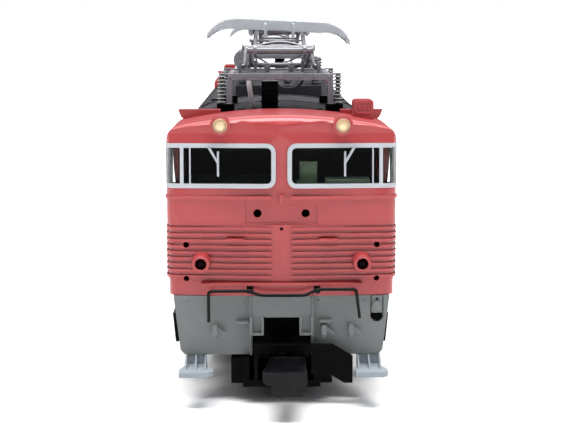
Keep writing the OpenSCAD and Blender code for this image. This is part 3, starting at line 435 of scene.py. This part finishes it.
slats = Shape()
for y in (-40, -20, 0, 20, 40):
    low, high, count = 15.15, GUTTER - 2.2, 11
    for i in range(count):
        z = low + (high - low) * (i + 0.5) / count
        slats.loft([[(HALF_W - 0.36, t, z + 0.10), (HALF_W - 0.05, t, z - 0.12), (HALF_W - 0.05, t, z - 0.04),
                     (HALF_W - 0.36, t, z + 0.18)] for t in (y - 3.32, y + 3.32)])
    for t in (y - 1.1, y + 1.1):
        slats.block(HALF_W - 0.3, HALF_W + 0.04, t - 0.07, t + 0.07, low - 0.05, high + 0.05)
    for t in (y - 3.45, y + 3.45):
        for z in (low + 0.1, (low + high) / 2, high - 0.1):
            slats.bolt("x", (HALF_W + 0.08, t, z), 0.07, 0.04)
slats.turn().make("air_inlet_slats", "body_red", bevel=0.012)

rims = Shape()
for y in (-30, -10, 10, 30):
    rims.rim(round_rect(y - 2.15, y + 2.15, 15.45, 18.35, 0.5),
             round_rect(y - 1.85, y + 1.85, 15.75, 18.05, 0.3), "x", HALF_W - 0.3, HALF_W + 0.06)
for side in (-1, 1):
    rims.rim(round_rect(side * CAB_WINDOW - 1.85, side * CAB_WINDOW + 1.85, 17.25, 20.65, 0.45),
             round_rect(side * CAB_WINDOW - 1.55, side * CAB_WINDOW + 1.55, 17.55, 20.35, 0.3), "x",
             HALF_W - 0.3, HALF_W + 0.06)
    rims.block(HALF_W - 0.25, HALF_W - 0.05, side * CAB_WINDOW - 0.07, side * CAB_WINDOW + 0.07, 17.4, 20.5)
    rims.rim(round_rect(side * DOOR - 1.12, side * DOOR + 1.12, 16.73, 18.97, 0.35),
             round_rect(side * DOOR - 0.9, side * DOOR + 0.9, 16.95, 18.75, 0.25), "x",
             HALF_W - 0.3, HALF_W + 0.06)
rims.mirror().make("side_window_rims", "frame_silver", bevel=0.015)

fittings = Shape()
for side in (-1, 1):
    # door handle with its plate, hinges and sill
    y = side * (FACE + 10.6)
    fittings.block(HALF_W - 0.2, HALF_W + 0.04, y - 0.12, y + 0.12, 14.6, 15.5)
    fittings.tube(smooth_path([(HALF_W, y, 14.75), (HALF_W + 0.08, y, 14.8), (HALF_W + 0.08, y, 15.3),
                               (HALF_W, y, 15.35)], 0.05), 0.03, 6)
    fittings.block(HALF_W - 0.35, HALF_W + 0.06, side * DOOR - 1.9, side * DOOR + 1.9, 8.95, 9.12)
    for z in (11.5, 14.6, 18.3):
        fittings.turned([(-0.25, 0.07), (0.25, 0.07)], "z", (HALF_W - 0.02, side * (FACE + 7.45), z), 8)
fittings.mirror().make("door_fittings", "frame_silver", bevel=0.01)

gutter = Shape()
gutter_end = -CAB_END - 0.3 + 3
gutter.prism([(HALF_W - 0.35, GUTTER - 0.12), (HALF_W + 0.07, GUTTER - 0.05), (HALF_W + 0.09, GUTTER + 0.08),
              (HALF_W, GUTTER + 0.02), (HALF_W - 0.35, GUTTER + 0.06)], "y", -gutter_end, gutter_end)
gutter.mirror().make("rain_gutters", "roof_grey", bevel=0.015)

# thin black sheets walling in the cab: painted shade, so the cab reads dark behind the glass around the green
# seat
lining = Shape()
for side in (-1, 1):
    lining.block(side * 8.52 - 0.04, side * 8.52 + 0.04, FACE + 2.7, FACE + 11.6, 16.9, 17.35)
lining.block(-8.5, 8.5, FACE + 11.5, FACE + 11.62, 16.9, 20.4)
lining.block(-8.5, 8.5, FACE + 1.75, FACE + 11.5, 16.85, 16.95)
lining.block(-8.45, 8.45, FACE + 2.35, FACE + 11.5, 20.3, 20.42)
for x in (-3.2, 0, 3.2):
    lining.rim(round_rect(x - 1.1, x + 1.1, 17.1, 20.1, 0.2),
               round_rect(x - 0.95, x + 0.95, 17.25, 19.95, 0.15), "y", FACE + 11.4, FACE + 11.5)
lining.block(-7.9, -0.6, span("cab_interior_a")[0].y - 0.04, FACE + 4.0, 17.3, 18.2)
lining.turn().make("cab_shade_lining", "chassis_black", material=SHADE_BLACK, bevel=0)

cab = Shape()
# driver's seat: its back and its cushion
cab.loft([[(1.75 + e, y, z0), (2.95 - e, y, z0), (2.95 - e, y + 0.24, z0), (1.75 + e, y + 0.24, z0)]
          for e, y, z0 in ((0.0, FACE + 4.36, 17.3), (0.0, FACE + 4.34, 18.4), (0.22, FACE + 4.4, 19.0))])
cab.block(1.35, 3.05, FACE + 3.7, FACE + 4.9, 17.32, 17.55)
cab.turn().make("cab_fittings", "interior_green", bevel=0.04)

# ---- lamps --------------------------------------------------------------------

lamps = Shape()
for x in (-HEADLIGHT_X, HEADLIGHT_X):
    lamps.turned([(0.3, 0.56), (0.02, 0.55), (-0.05, 0.46), (-0.1, 0.3), (-0.12, 0.12)], "y",
                 (x, FACE, HEADLIGHT_Z), 28)
lamps.turn().make("headlight_domes", "headlight_lens", bevel=0)
tails = Shape()
for x in (-TAIL_X, TAIL_X):
    tails.turned([(0.3, 0.44), (-0.33, 0.43), (-0.42, 0.3), (-0.45, 0.1)], "y", (x, FACE, TAIL_Z), 24)
tails.turn().make("tail_light_domes", "tail_light_lens", bevel=0)
bezels = Shape()
for x, z, r, front in ((HEADLIGHT_X, HEADLIGHT_Z, 0.6, -0.25), (TAIL_X, TAIL_Z, 0.48, -0.7)):
    for s in (-1, 1):
        bezels.loft([[(u, FACE + front + d, v) for u, v in circle(s * x, z, r + e, 28)]
                     for e, d in ((0.0, 0.1), (0.0, -0.03), (0.05, -0.05), (0.1, -0.02), (0.12, 0.1))],
                    closed=True)
bezels.turn().make("lamp_bezels", "body_red", bevel=0)

# ---- under the face -------------------------------------------------------------

wire = Shape()
y = FACE - 1
wire.tube(smooth_path([(-6.06, y, 6.42), (-6.06, y, 9.0), (-2.8, y, 9.02), (-1.8, y, 8.64), (1.92, y, 8.64),
                       (3.0, y, 9.14), (6.15, y, 9.14), (6.46, y, 6.72)], 0.32), 0.135, 10)
for x in (-2.65, 2.95):
    wire.block(x - 0.2, x + 0.2, y - 0.17, FACE + 0.1, 8.82, 8.94)
    wire.turned([(-0.2, 0.19), (0.2, 0.19)], "x", (x, y, 9.0), 16)
    wire.block(x - 0.28, x + 0.28, FACE + 0.02, FACE + 0.12, 8.7, 9.3)
for end in "ab":
    lever = wire.make_at(end, "uncoupling_wire", "chassis_black", material=GLOSS, bevel=0.015)
    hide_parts("uncoupling_lever_" + end)

skirt = Shape()
for x in (-7.9, -3.1, 3.1, 6.9):
    for z in (7.9, 3.75):
        if abs(x) < 7.5 or z > 4:
            skirt.turned([(0.1, 0.09), (0.0, 0.09), (-0.04, 0.06)], "y", (x, FACE + 0.46, z), 12)
for x in (-5.56, 3.55, 5.8):
    skirt.turned([(0.2, 0.24), (-0.02, 0.24), (-0.06, 0.18)], "y", (x, FACE - 0.22, 5.7), 16)
    skirt.turned([(0.0, 0.15), (0.12, 0.17), (0.3, 0.15), (0.36, 0.08)], "z", (x, FACE - 0.12, 4.86), 14)
skirt.turn().make("skirt_fittings", "skirt_grey", bevel=0.012)

hook = Shape()
front = FACE - 6.6
# raised rim on the coupler's head, and its spring
hook.rim([(-1.62, front + 0.2), (1.6, front + 0.2), (1.64, front + 5.1), (-0.8, front + 5.1)],
         [(-1.5, front + 0.32), (1.48, front + 0.32), (1.52, front + 4.98), (-0.72, front + 4.98)],
         "z", 3.5, 3.56)
hook.coil((0.1, FACE - 1.0, 2.55), (0.1, FACE + 0.4, 2.55), 0.86, 0.09, 4.5)
for end in "ab":
    hook.make_at(end, "coupler_fittings", "chassis_black", body="coupler_" + end, material=GLOSS,
                 bevel=0.01)

# ---- roof ------------------------------------------------------------------------

seams = Shape()
for y in (-44, -33.5, -22, 22, 33.5, 44):
    xs = [-8.3 + 16.6 * i / 24 for i in range(25)]
    outline = [(x, eaves_height(x, 0.06)) for x in xs] + [(x, eaves_height(x, -0.3)) for x in reversed(xs)]
    seams.prism(outline, "y", y - 0.18, y + 0.18)
for y in (-19.5, 19.5, -7, 7):
    seams.block(-5.4, 5.4, y - 0.12, y + 0.12, HOOD - 0.1, HOOD + 0.05)
for x0, x1, y0, y1 in ((1.9, 5.2, -16.5, -8), (1.9, 5.2, 8, 16.5), (-5.2, -0.6, 14.8, 18.8)):
    seams.rim(round_rect(x0, x1, y0, y1, 0.3), round_rect(x0 + 0.2, x1 - 0.2, y0 + 0.2, y1 - 0.2, 0.2), "z",
              HOOD - 0.05, HOOD + 0.12)
    for i in range(9):
        t = y0 + 0.5 + (y1 - y0 - 1) * i / 8
        seams.block(x0 + 0.2, x1 - 0.2, t - 0.1, t + 0.1, HOOD - 0.05, HOOD + 0.09)
deck = roof_height(WALKWAY_X)
for x in (-WALKWAY_X, WALKWAY_X):
    # walkway boards beside the hood
    seams.block(x - 0.55, x + 0.55, -19, 19, deck + 0.1, deck + 0.25)
    for y in (-18, -12, -6, 0, 6, 12, 18):
        seams.block(x - 0.4, x + 0.4, y - 0.15, y + 0.15, deck - 0.6, deck + 0.12)
foot, crown = roof_height(3.5) - 0.1, roof_height(3.5) + 0.35
for y in (-48, 48):
    for x in (-3.5, 3.5):
        # lifting eyes
        seams.tube(smooth_path([(x - 0.3, y, foot), (x - 0.3, y, crown), (x + 0.3, y, crown),
                                (x + 0.3, y, foot)], 0.2), 0.08)
seams.make("roof_fittings", "roof_grey", bevel=0.02)

cooler = Shape()
for i in range(24):
    t = -5.6 + 19.2 * i / 23
    cooler.block(-4.8, -1.2, t - 0.12, t + 0.12, HOOD + 0.75, HOOD + 0.88)
for y in (-17.5 + 0.5, -9 - 0.5):
    cooler.turned([(-0.16, 1.12), (-0.1, 1.16), (0.1, 1.16), (0.16, 1.12)], "y", (-3.75, y, HOOD + 2.8), 28)
cooler.turned([(0, 0.5), (0.12, 0.5), (0.2, 0.42)], "y", (-3.75, -9.05, HOOD + 2.8), 20)
cooler.block(-4.15, -3.35, -14.2, -12.2, HOOD + 3.7, HOOD + 3.95)
cooler.make("switch_gear_fittings", "pantograph_metal", material=BASE_METAL, bevel=0.02)


def fins(shape, x, y, low, high, radius, count):
    """A ribbed insulator."""
    profile = []
    step = (high - low) / count
    for i in range(count):
        z0 = low + (high - low) * i / count
        profile += [(z0, radius * 0.62), (z0 + step * 0.35, radius), (z0 + step * 0.55, radius),
                    (z0 + step * 0.9, radius * 0.62)]
    shape.turned(profile, "z", (x, y, 0), 20)


ceramic = Shape()
for y in (-17.5, 17.5):
    fins(ceramic, 4.4, y, HOOD + 0.1, HOOD + 3.0, 0.66, 9)
for y in (-14, -4, 6, 15):
    fins(ceramic, 1.2, y, HOOD + 0.1, HOOD + 1.35, 0.5, 4)
for y in (-16, -10.5):
    fins(ceramic, -3.75, y, HOOD + 0.1, HOOD + 1.8, 0.74, 5)
ceramic.make("roof_insulators", "insulator_green", bevel=0)

bright = Shape()
low, high, count = ROOF + 0.45, BEAM + 0.5, 8
for x in (-5.3, 5.3):
    for y in (PANTO_Y - BASE_HALF, PANTO_Y + BASE_HALF):
        for i in range(count):
            z = low + (high - low) * (i + 0.51) / count
            bright.turned([(z - 0.05, 0.30), (z - 0.03, 0.405), (z + 0.03, 0.405), (z + 0.05, 0.30)],
                          "z", (x, y, 0), 24)
bright.turn().make("insulator_rims", "insulator_green", material=GLAZE, bevel=0)

cables = Shape()
for s in (-1, 1):
    # from the bus bar to each pantograph, and between the gear
    cables.tube(smooth_path([(s * 1.2, s * 15.6, HOOD + 1.6), (s * 1.2, s * 18.5, HOOD + 1.5),
                             (s * -0.5, s * 24, ROOF + 0.75), (s * -2.2, s * 30, ROOF + 1.2),
                             (s * -2.8, s * 32.3, BEAM + 0.2)], 2.5, 8), 0.13)
cables.tube(smooth_path([(1.2, -14, HOOD + 1.6), (-0.5, -14.5, HOOD + 2.0), (-2.6, -13.2, HOOD + 3.2)],
                        0.8, 6), 0.1)
for s in (1, -1):
    cables.tube(smooth_path([(1.2, s * 15, HOOD + 1.6), (2.6, s * 16.3, HOOD + 2.0),
                             (4.4, s * 17.5, HOOD + 3.15)], 0.8, 6), 0.1)
cables.make("roof_cables", "pantograph_metal", bevel=0, material=MATERIALS["roof_grey"])

conduit = Shape()
front = PANTO_Y - BASE_HALF
conduit.tube(smooth_path([(-2.85, front + 0.3, BEAM + 0.25), (-2.85, front - 0.15, BEAM - 0.1),
                          (-2.75, front + 0.1, BEAM - 0.9), (-2.45, front + 0.9, ROOF + 0.2),
                          (-2.3, front + 1.6, ROOF - 0.2)], 0.6, 6), 0.24, 12)
cover = Shape()
y0, y1 = PANTO_Y - 6.35, PANTO_Y - 3.85
inner = [(-1.6, y0), (-0.25, y0), (-0.25, y1), (-1.6, y1)]
y0, y1 = PANTO_Y - 6.44, PANTO_Y - 3.76
cover.rim([(-1.69, y0), (-0.16, y0), (-0.16, y1), (-1.69, y1)], inner, "z", ROOF, BEAM - 0.12)
y0, y1 = PANTO_Y - 6.5, PANTO_Y - 3.7
for z in (ROOF + 0.55, ROOF + 1.15, ROOF + 1.75):
    cover.rim([(-1.76, y0), (-0.09, y0), (-0.09, y1), (-1.76, y1)], inner, "z", z, z + 0.1)
for x in (-4.95, 4.95):
    for y in (PANTO_Y - BASE_HALF, PANTO_Y + BASE_HALF):
        cover.rim(round_rect(x - 0.80, x + 0.80, y - 0.84, y + 0.84, 0.1),
                  round_rect(x - 0.50, x + 0.50, y - 0.50, y + 0.50, 0.05), "z", ROOF - 1.2, ROOF + 0.48)
cover.turn().make("air_cylinder_covers", "pantograph_metal", material=MATERIALS["chassis_black"], bevel=0.02)
conduit.turn().make("pantograph_hoses", "pantograph_metal", material=CREAM, bevel=0)

whistle = Shape()
x0, x1 = 6.25, 8.05
top = span("whistle_covers")[1].z
for t in (FACE + 6.28, FACE + 8.3):
    whistle.rim(round_rect(x0 + 0.1, x1 - 0.1, top - 1.3, top - 0.12, 0.25),
                round_rect(x0 + 0.3, x1 - 0.3, top - 1.1, top - 0.32, 0.2), "y", t - 0.03, t + 0.05)
for i in range(3):
    whistle.block(x0 + 0.4 + 0.4 * i, x0 + 0.6 + 0.4 * i, FACE + 6.25, FACE + 6.4, top - 0.95, top - 0.5)
whistle.turn().make("whistle_cover_louvres", "body_red", bevel=0.015)

# ---- pantographs ------------------------------------------------------------------

base = Shape()
for x in (-1.15, 1.15):
    base.coil((x, PANTO_Y - 1.5, PIVOT - 0.05), (x, PANTO_Y + 1.5, PIVOT - 0.05), 0.27, 0.07, 11)
    base.tube([(x, PANTO_Y - 1.75, PIVOT - 0.05), (x, PANTO_Y + 1.75, PIVOT - 0.05)], 0.07)
    for y in (PANTO_Y - 1.62, PANTO_Y + 1.62):
        base.block(x - 0.2, x + 0.2, y - 0.08, y + 0.08, BEAM + 0.4, PIVOT + 0.12)
base.turned([(-0.15, 0.3), (0.15, 0.3), (0.2, 0.2)], "y", (0, PANTO_Y - BASE_FACE, BEAM + 0.35), 16)
for x in (-4.5, -3.2, -1.6, 1.6, 3.2, 4.5):
    for s in (-1, 1):
        base.turned([(0, 0.11), (s * 0.07, 0.11), (s * 0.1, 0.07)], "y",
                    (x, PANTO_Y + s * BASE_FACE, BEAM + 0.32), 6)
for y in (PANTO_Y - 4.4, PANTO_Y + 4.4):
    base.tube([(-4.6, y, BEAM + 0.3), (4.6, y, BEAM + 0.3)], 0.16)

front_lower = Shape()
for s in (-1, 1):
    front_lower.turned([(-0.08, 0.36), (0.08, 0.36)], "x", (s * 2.98, PANTO_Y + PIVOT_Y - ARM_RUN, KNEE), 18)

rear_lower = Shape()
y0, y1 = PANTO_Y - PIVOT_Y, PANTO_Y - PIVOT_Y + ARM_RUN
y = y0 + (y1 - y0) * 0.68
z = height_on(y, y0, y1, PIVOT, KNEE)
rear_lower.tube([(-3.3, y, z), (3.3, y, z)], 0.11)
for s in (-1, 1):
    rear_lower.turned([(-0.08, 0.36), (0.08, 0.36)], "x", (s * 3.62, y1, KNEE), 18)

front_upper = Shape()
y0, y1 = PANTO_Y + PIVOT_Y - ARM_RUN, PANTO_Y + PIVOT_Y
y = y0 + 1.6
z = height_on(y, y0, y1, KNEE, HEAD)
front_upper.tube([(-2.25 + 4.5 * i / 12, y + 0.4 * math.sin(math.pi * i / 12),
                   z + 0.42 * math.sin(math.pi * i / 12)) for i in range(13)], 0.13)
y = y0 + (y1 - y0) * 0.5
z = height_on(y, y0, y1, KNEE, HEAD)
front_upper.tube([(-2.25, y, z), (2.25, y, z)], 0.09)

rear_upper = Shape()
y0, y1 = PANTO_Y - PIVOT_Y + ARM_RUN, PANTO_Y - PIVOT_Y
for t in (0.15, 0.6):
    y = y0 + (y1 - y0) * t
    z = height_on(y, y0, y1, KNEE, HEAD)
    rear_upper.tube([(-1.8, y, z), (1.8, y, z)], 0.09)

head = Shape()
for s in (-1, 1):
    for x in (-2.35, 2.35):
        y = PANTO_Y + s * 1.1
        head.coil((x, y, HEAD + 0.42), (x, y, HEAD + 0.92), 0.16, 0.05, 4)

for end in "ab":
    base.make_at(end, "pantograph_base_fittings", "pantograph_metal", bevel=0.012)
    for shape, name, body, bevel in (
            (front_lower, "front_lower_bracing", "lower_arm_front_", 0.01),
            (rear_lower, "rear_lower_bracing", "lower_arm_rear_", 0.01),
            (front_upper, "front_upper_bracing", "upper_arm_front_", 0),
            (rear_upper, "rear_upper_bracing", "upper_arm_rear_", 0),
            (head, "collector_head_fittings", "collector_head_", 0)):
        shape.make_at(end, name, "pantograph_metal", body=body + end, bevel=bevel)

# ---- running gear ------------------------------------------------------------------


def axle_springs(springs, gear, y):
    """A coil spring beside an axle box, with its two seats."""
    x = BOGIE_FACE + 0.05
    springs.coil((x, y, 3.7), (x, y, 5.7), 0.6, 0.1, 6)
    gear.turned([(5.7, 0.72), (5.82, 0.72), (5.9, 0.5)], "z", (x, y, 0), 16)
    gear.turned([(3.48, 0.72), (3.6, 0.72)], "z", (x, y, 0), 16)


def axle_box_cover(gear, y):
    """The cover of an axle box, with its bolts."""
    gear.turned([(0.4, 0.98), (0.62, 0.98), (0.74, 0.86), (0.76, 0.4), (0.82, 0.36), (0.83, 0.2)], "x",
                (BOGIE_FACE, y, AXLE_Z + 0.05), 24)
    for k in range(6):
        a = math.pi * (k + 0.5) / 3
        gear.bolt("x", (BOGIE_FACE + 0.7, y + 0.68 * math.cos(a), AXLE_Z + 0.05 + 0.68 * math.sin(a)),
                  0.09, 0.09)


def brake(gear, axle, side):
    """Brake hanger, shoe and rod, before or behind a wheel."""
    y = axle + side * 4.35
    gear.tube([(5.2, y, 6.1), (5.2, y - side * 0.2, 3.4)], 0.14)
    gear.prism([(y + dy, AXLE_Z - 0.4 + dz) for dy, dz in
                ((-side * 0.28, -1.0), (side * 0.15, -1.1), (side * 0.15, 1.1), (-side * 0.22, 1.0))],
               "x", 4.4, 5.6)
    gear.tube([(5.2, y, 5.9), (6.3, y, 5.9)], 0.14)


def wheel_hub(y):
    """Bolts, boss and tyre line of the wheel whose axle lies at y."""
    hub = Shape()
    for k in range(8):
        a = math.pi * k / 4
        hub.bolt("x", (5.3, y + 1.9 * math.cos(a), AXLE_Z + 1.9 * math.sin(a)), 0.16, 0.14)
    hub.turned([(5.7, 1.25), (5.84, 1.2), (5.92, 1.0)], "x", (0, y, AXLE_Z), 24)
    hub.rim(circle(y, AXLE_Z, 2.62, 32), circle(y, AXLE_Z, 2.48, 32), "x", 5.3, 5.42)
    return hub.mirror()


for number, end in enumerate(("a", "middle", "b"), 1):
    body = "bogie_" + end
    low, high = span("bogie_frame_" + end)
    y = (low.y + high.y) / 2
    springs = Shape()
    gear = Shape()
    for s in (-1, 1):
        axle = y + s * AXLE_Y
        for t in (-2.1, 2.1):
            axle_springs(springs, gear, axle + t)
        axle_box_cover(gear, axle)
        for t in (-1, 1):
            brake(gear, axle, t)
        # sand pipe
        c = y + s * (AXLE_Y + 3.1)
        gear.tube(smooth_path([(6.9, c - s * 0.4, 5.4), (6.3, c + s * 0.6, 4.2),
                               (5.3, c + s * 0.75, 2.2)], 0.6), 0.12)
    for t in (-1.3, 1.3):
        springs.coil((BOGIE_FACE + 0.1, y + t, 3.25), (BOGIE_FACE + 0.1, y + t, 5.15), 0.72, 0.12, 5)
    for t in (-2.2, 2.2):
        gear.bolt("x", (BOGIE_FACE + 0.66, y + t, 5.9), 0.14, 0.12)
        gear.bolt("x", (BOGIE_FACE - 0.02, y + 1.9 * t, 4.3), 0.14, 0.12)
    springs.mirror().make("bogie_springs_%d" % number, "chassis_black", body=body, bevel=0)
    gear.mirror().make("bogie_fittings_%d" % number, "chassis_black", body=body, bevel=0.015)
    for wheel, s in ((2 * number - 1, -1), (2 * number, 1)):
        wheel_hub(y + s * AXLE_Y).make("wheel_fittings_%d" % wheel, "wheel_metal", body="wheelset_%d" % wheel,
                                       bevel=0.015)

under = Shape()
out = span("equipment_boxes")[1].x
for s in (-1, 1):
    y = s * 18
    for t in (-2.4, 0, 2.4):
        under.rim(round_rect(y + t - 1.05, y + t + 1.05, 3.6, 7.7, 0.15),
                  round_rect(y + t - 0.9, y + t + 0.9, 3.75, 7.55, 0.1), "x", out - 0.05, out + 0.08)
        under.block(out, out + 0.16, y + t - 0.3, y + t + 0.3, 4.15, 4.3)
        for z in (5.2, 5.5, 5.8, 6.1, 6.4):
            under.block(out - 0.02, out + 0.09, y + t - 0.6, y + t + 0.6, z, z + 0.12)
    under.tube([(out + 0.25, y - 3.5, 7.95), (out + 0.25, y + 3.5, 7.95)], 0.13)
    under.tube([(out - 0.6, y - 3.7, 3.3), (out - 0.6, y - 4.3, 3.3)], 0.25)
under.mirror().make("equipment_box_fittings", "chassis_black", bevel=0.015)

# ---- stage -----------------------------------------------------------------

floor_mesh = bpy.data.meshes.new("floor")
floor_mesh.from_pydata([(-4, -4, 0), (4, -4, 0), (4, 4, 0), (-4, 4, 0)], [], [(0, 1, 2, 3)])
floor = bpy.data.objects.new("floor", floor_mesh)
bpy.context.scene.collection.objects.link(floor)
white = painted("floor_white", (0.90, 0.90, 0.90), 0.6, edge=1.0, vary=0.01)
tree = white.node_tree
lit = next(node for node in tree.nodes if node.type == "BSDF_PRINCIPLED")
reach = tree.nodes.new("ShaderNodeVectorMath")
reach.operation = "LENGTH"
tree.links.new(tree.nodes.new("ShaderNodeTexCoord").outputs["Object"], reach.inputs[0])
# far from the model the floor glows, so that it ends in plain white
tree.links.new(ramp(tree, reach.outputs["Value"], 0.0, 1.0, 0.14, 0.40), lit.inputs["Emission Strength"])
lit.inputs["Emission Color"].default_value = (1, 1, 1, 1)
floor_mesh.materials.append(white)

scene = bpy.context.scene
scene.view_settings.view_transform = "Standard"
world = bpy.data.worlds.new("studio")
world.use_nodes = True
scene.world = world
tree = world.node_tree
tree.nodes.clear()
camera_white = tree.nodes.new("ShaderNodeBackground")
camera_white.inputs["Color"].default_value = (1, 1, 1, 1)
room = tree.nodes.new("ShaderNodeBackground")
room.inputs["Color"].default_value = (0.94, 0.96, 1, 1)
height = tree.nodes.new("ShaderNodeSeparateXYZ")
tree.links.new(tree.nodes.new("ShaderNodeTexCoord").outputs["Generated"], height.inputs["Vector"])
tree.links.new(ramp(tree, height.outputs["Z"], 0.08, 0.6, 0.1, 0.8), room.inputs["Strength"])
path = tree.nodes.new("ShaderNodeLightPath")
choose = tree.nodes.new("ShaderNodeMixShader")
sky = tree.nodes.new("ShaderNodeOutputWorld")
tree.links.new(path.outputs["Is Camera Ray"], choose.inputs["Fac"])
tree.links.new(room.outputs["Background"], choose.inputs[1])
tree.links.new(camera_white.outputs["Background"], choose.inputs[2])
tree.links.new(choose.outputs["Shader"], sky.inputs["Surface"])


def softbox(name, spot, aim, size, power):
    data = bpy.data.lights.new(name, "AREA")
    data.shape = "RECTANGLE"
    data.size, data.size_y = size
    data.energy = power
    obj = bpy.data.objects.new(name, data)
    obj.location = spot
    obj.rotation_euler = (Vector(aim) - Vector(spot)).to_track_quat("-Z", "Y").to_euler()
    scene.collection.objects.link(obj)


softbox("top", (0, -0.06, 0.50), (0, -0.05, 0), (0.5, 0.26), 5.0)
softbox("strip", (0, -0.20, 0.50), (0, -0.05, 0.02), (0.7, 0.05), 1.8)
softbox("front_left", (-0.42, -0.50, 0.36), (0, -0.05, 0.015), (0.3, 0.3), 0.22)
softbox("front_right", (0.45, -0.48, 0.34), (0, -0.05, 0.015), (0.3, 0.3), 0.22)
softbox("back", (0, 0.45, 0.40), (0, 0.03, 0.015), (0.5, 0.2), 0.8)

camera_data = bpy.data.cameras.new("camera")
camera_data.lens = 85
camera_data.sensor_width = 36
camera_data.clip_start = 0.005
camera = bpy.data.objects.new("camera", camera_data)
camera.location = (-0.0013, -0.169, 0.0315)
camera.rotation_euler = (math.radians(90 - 8.0), 0, math.radians(-0.8))
scene.collection.objects.link(camera)
scene.camera = camera
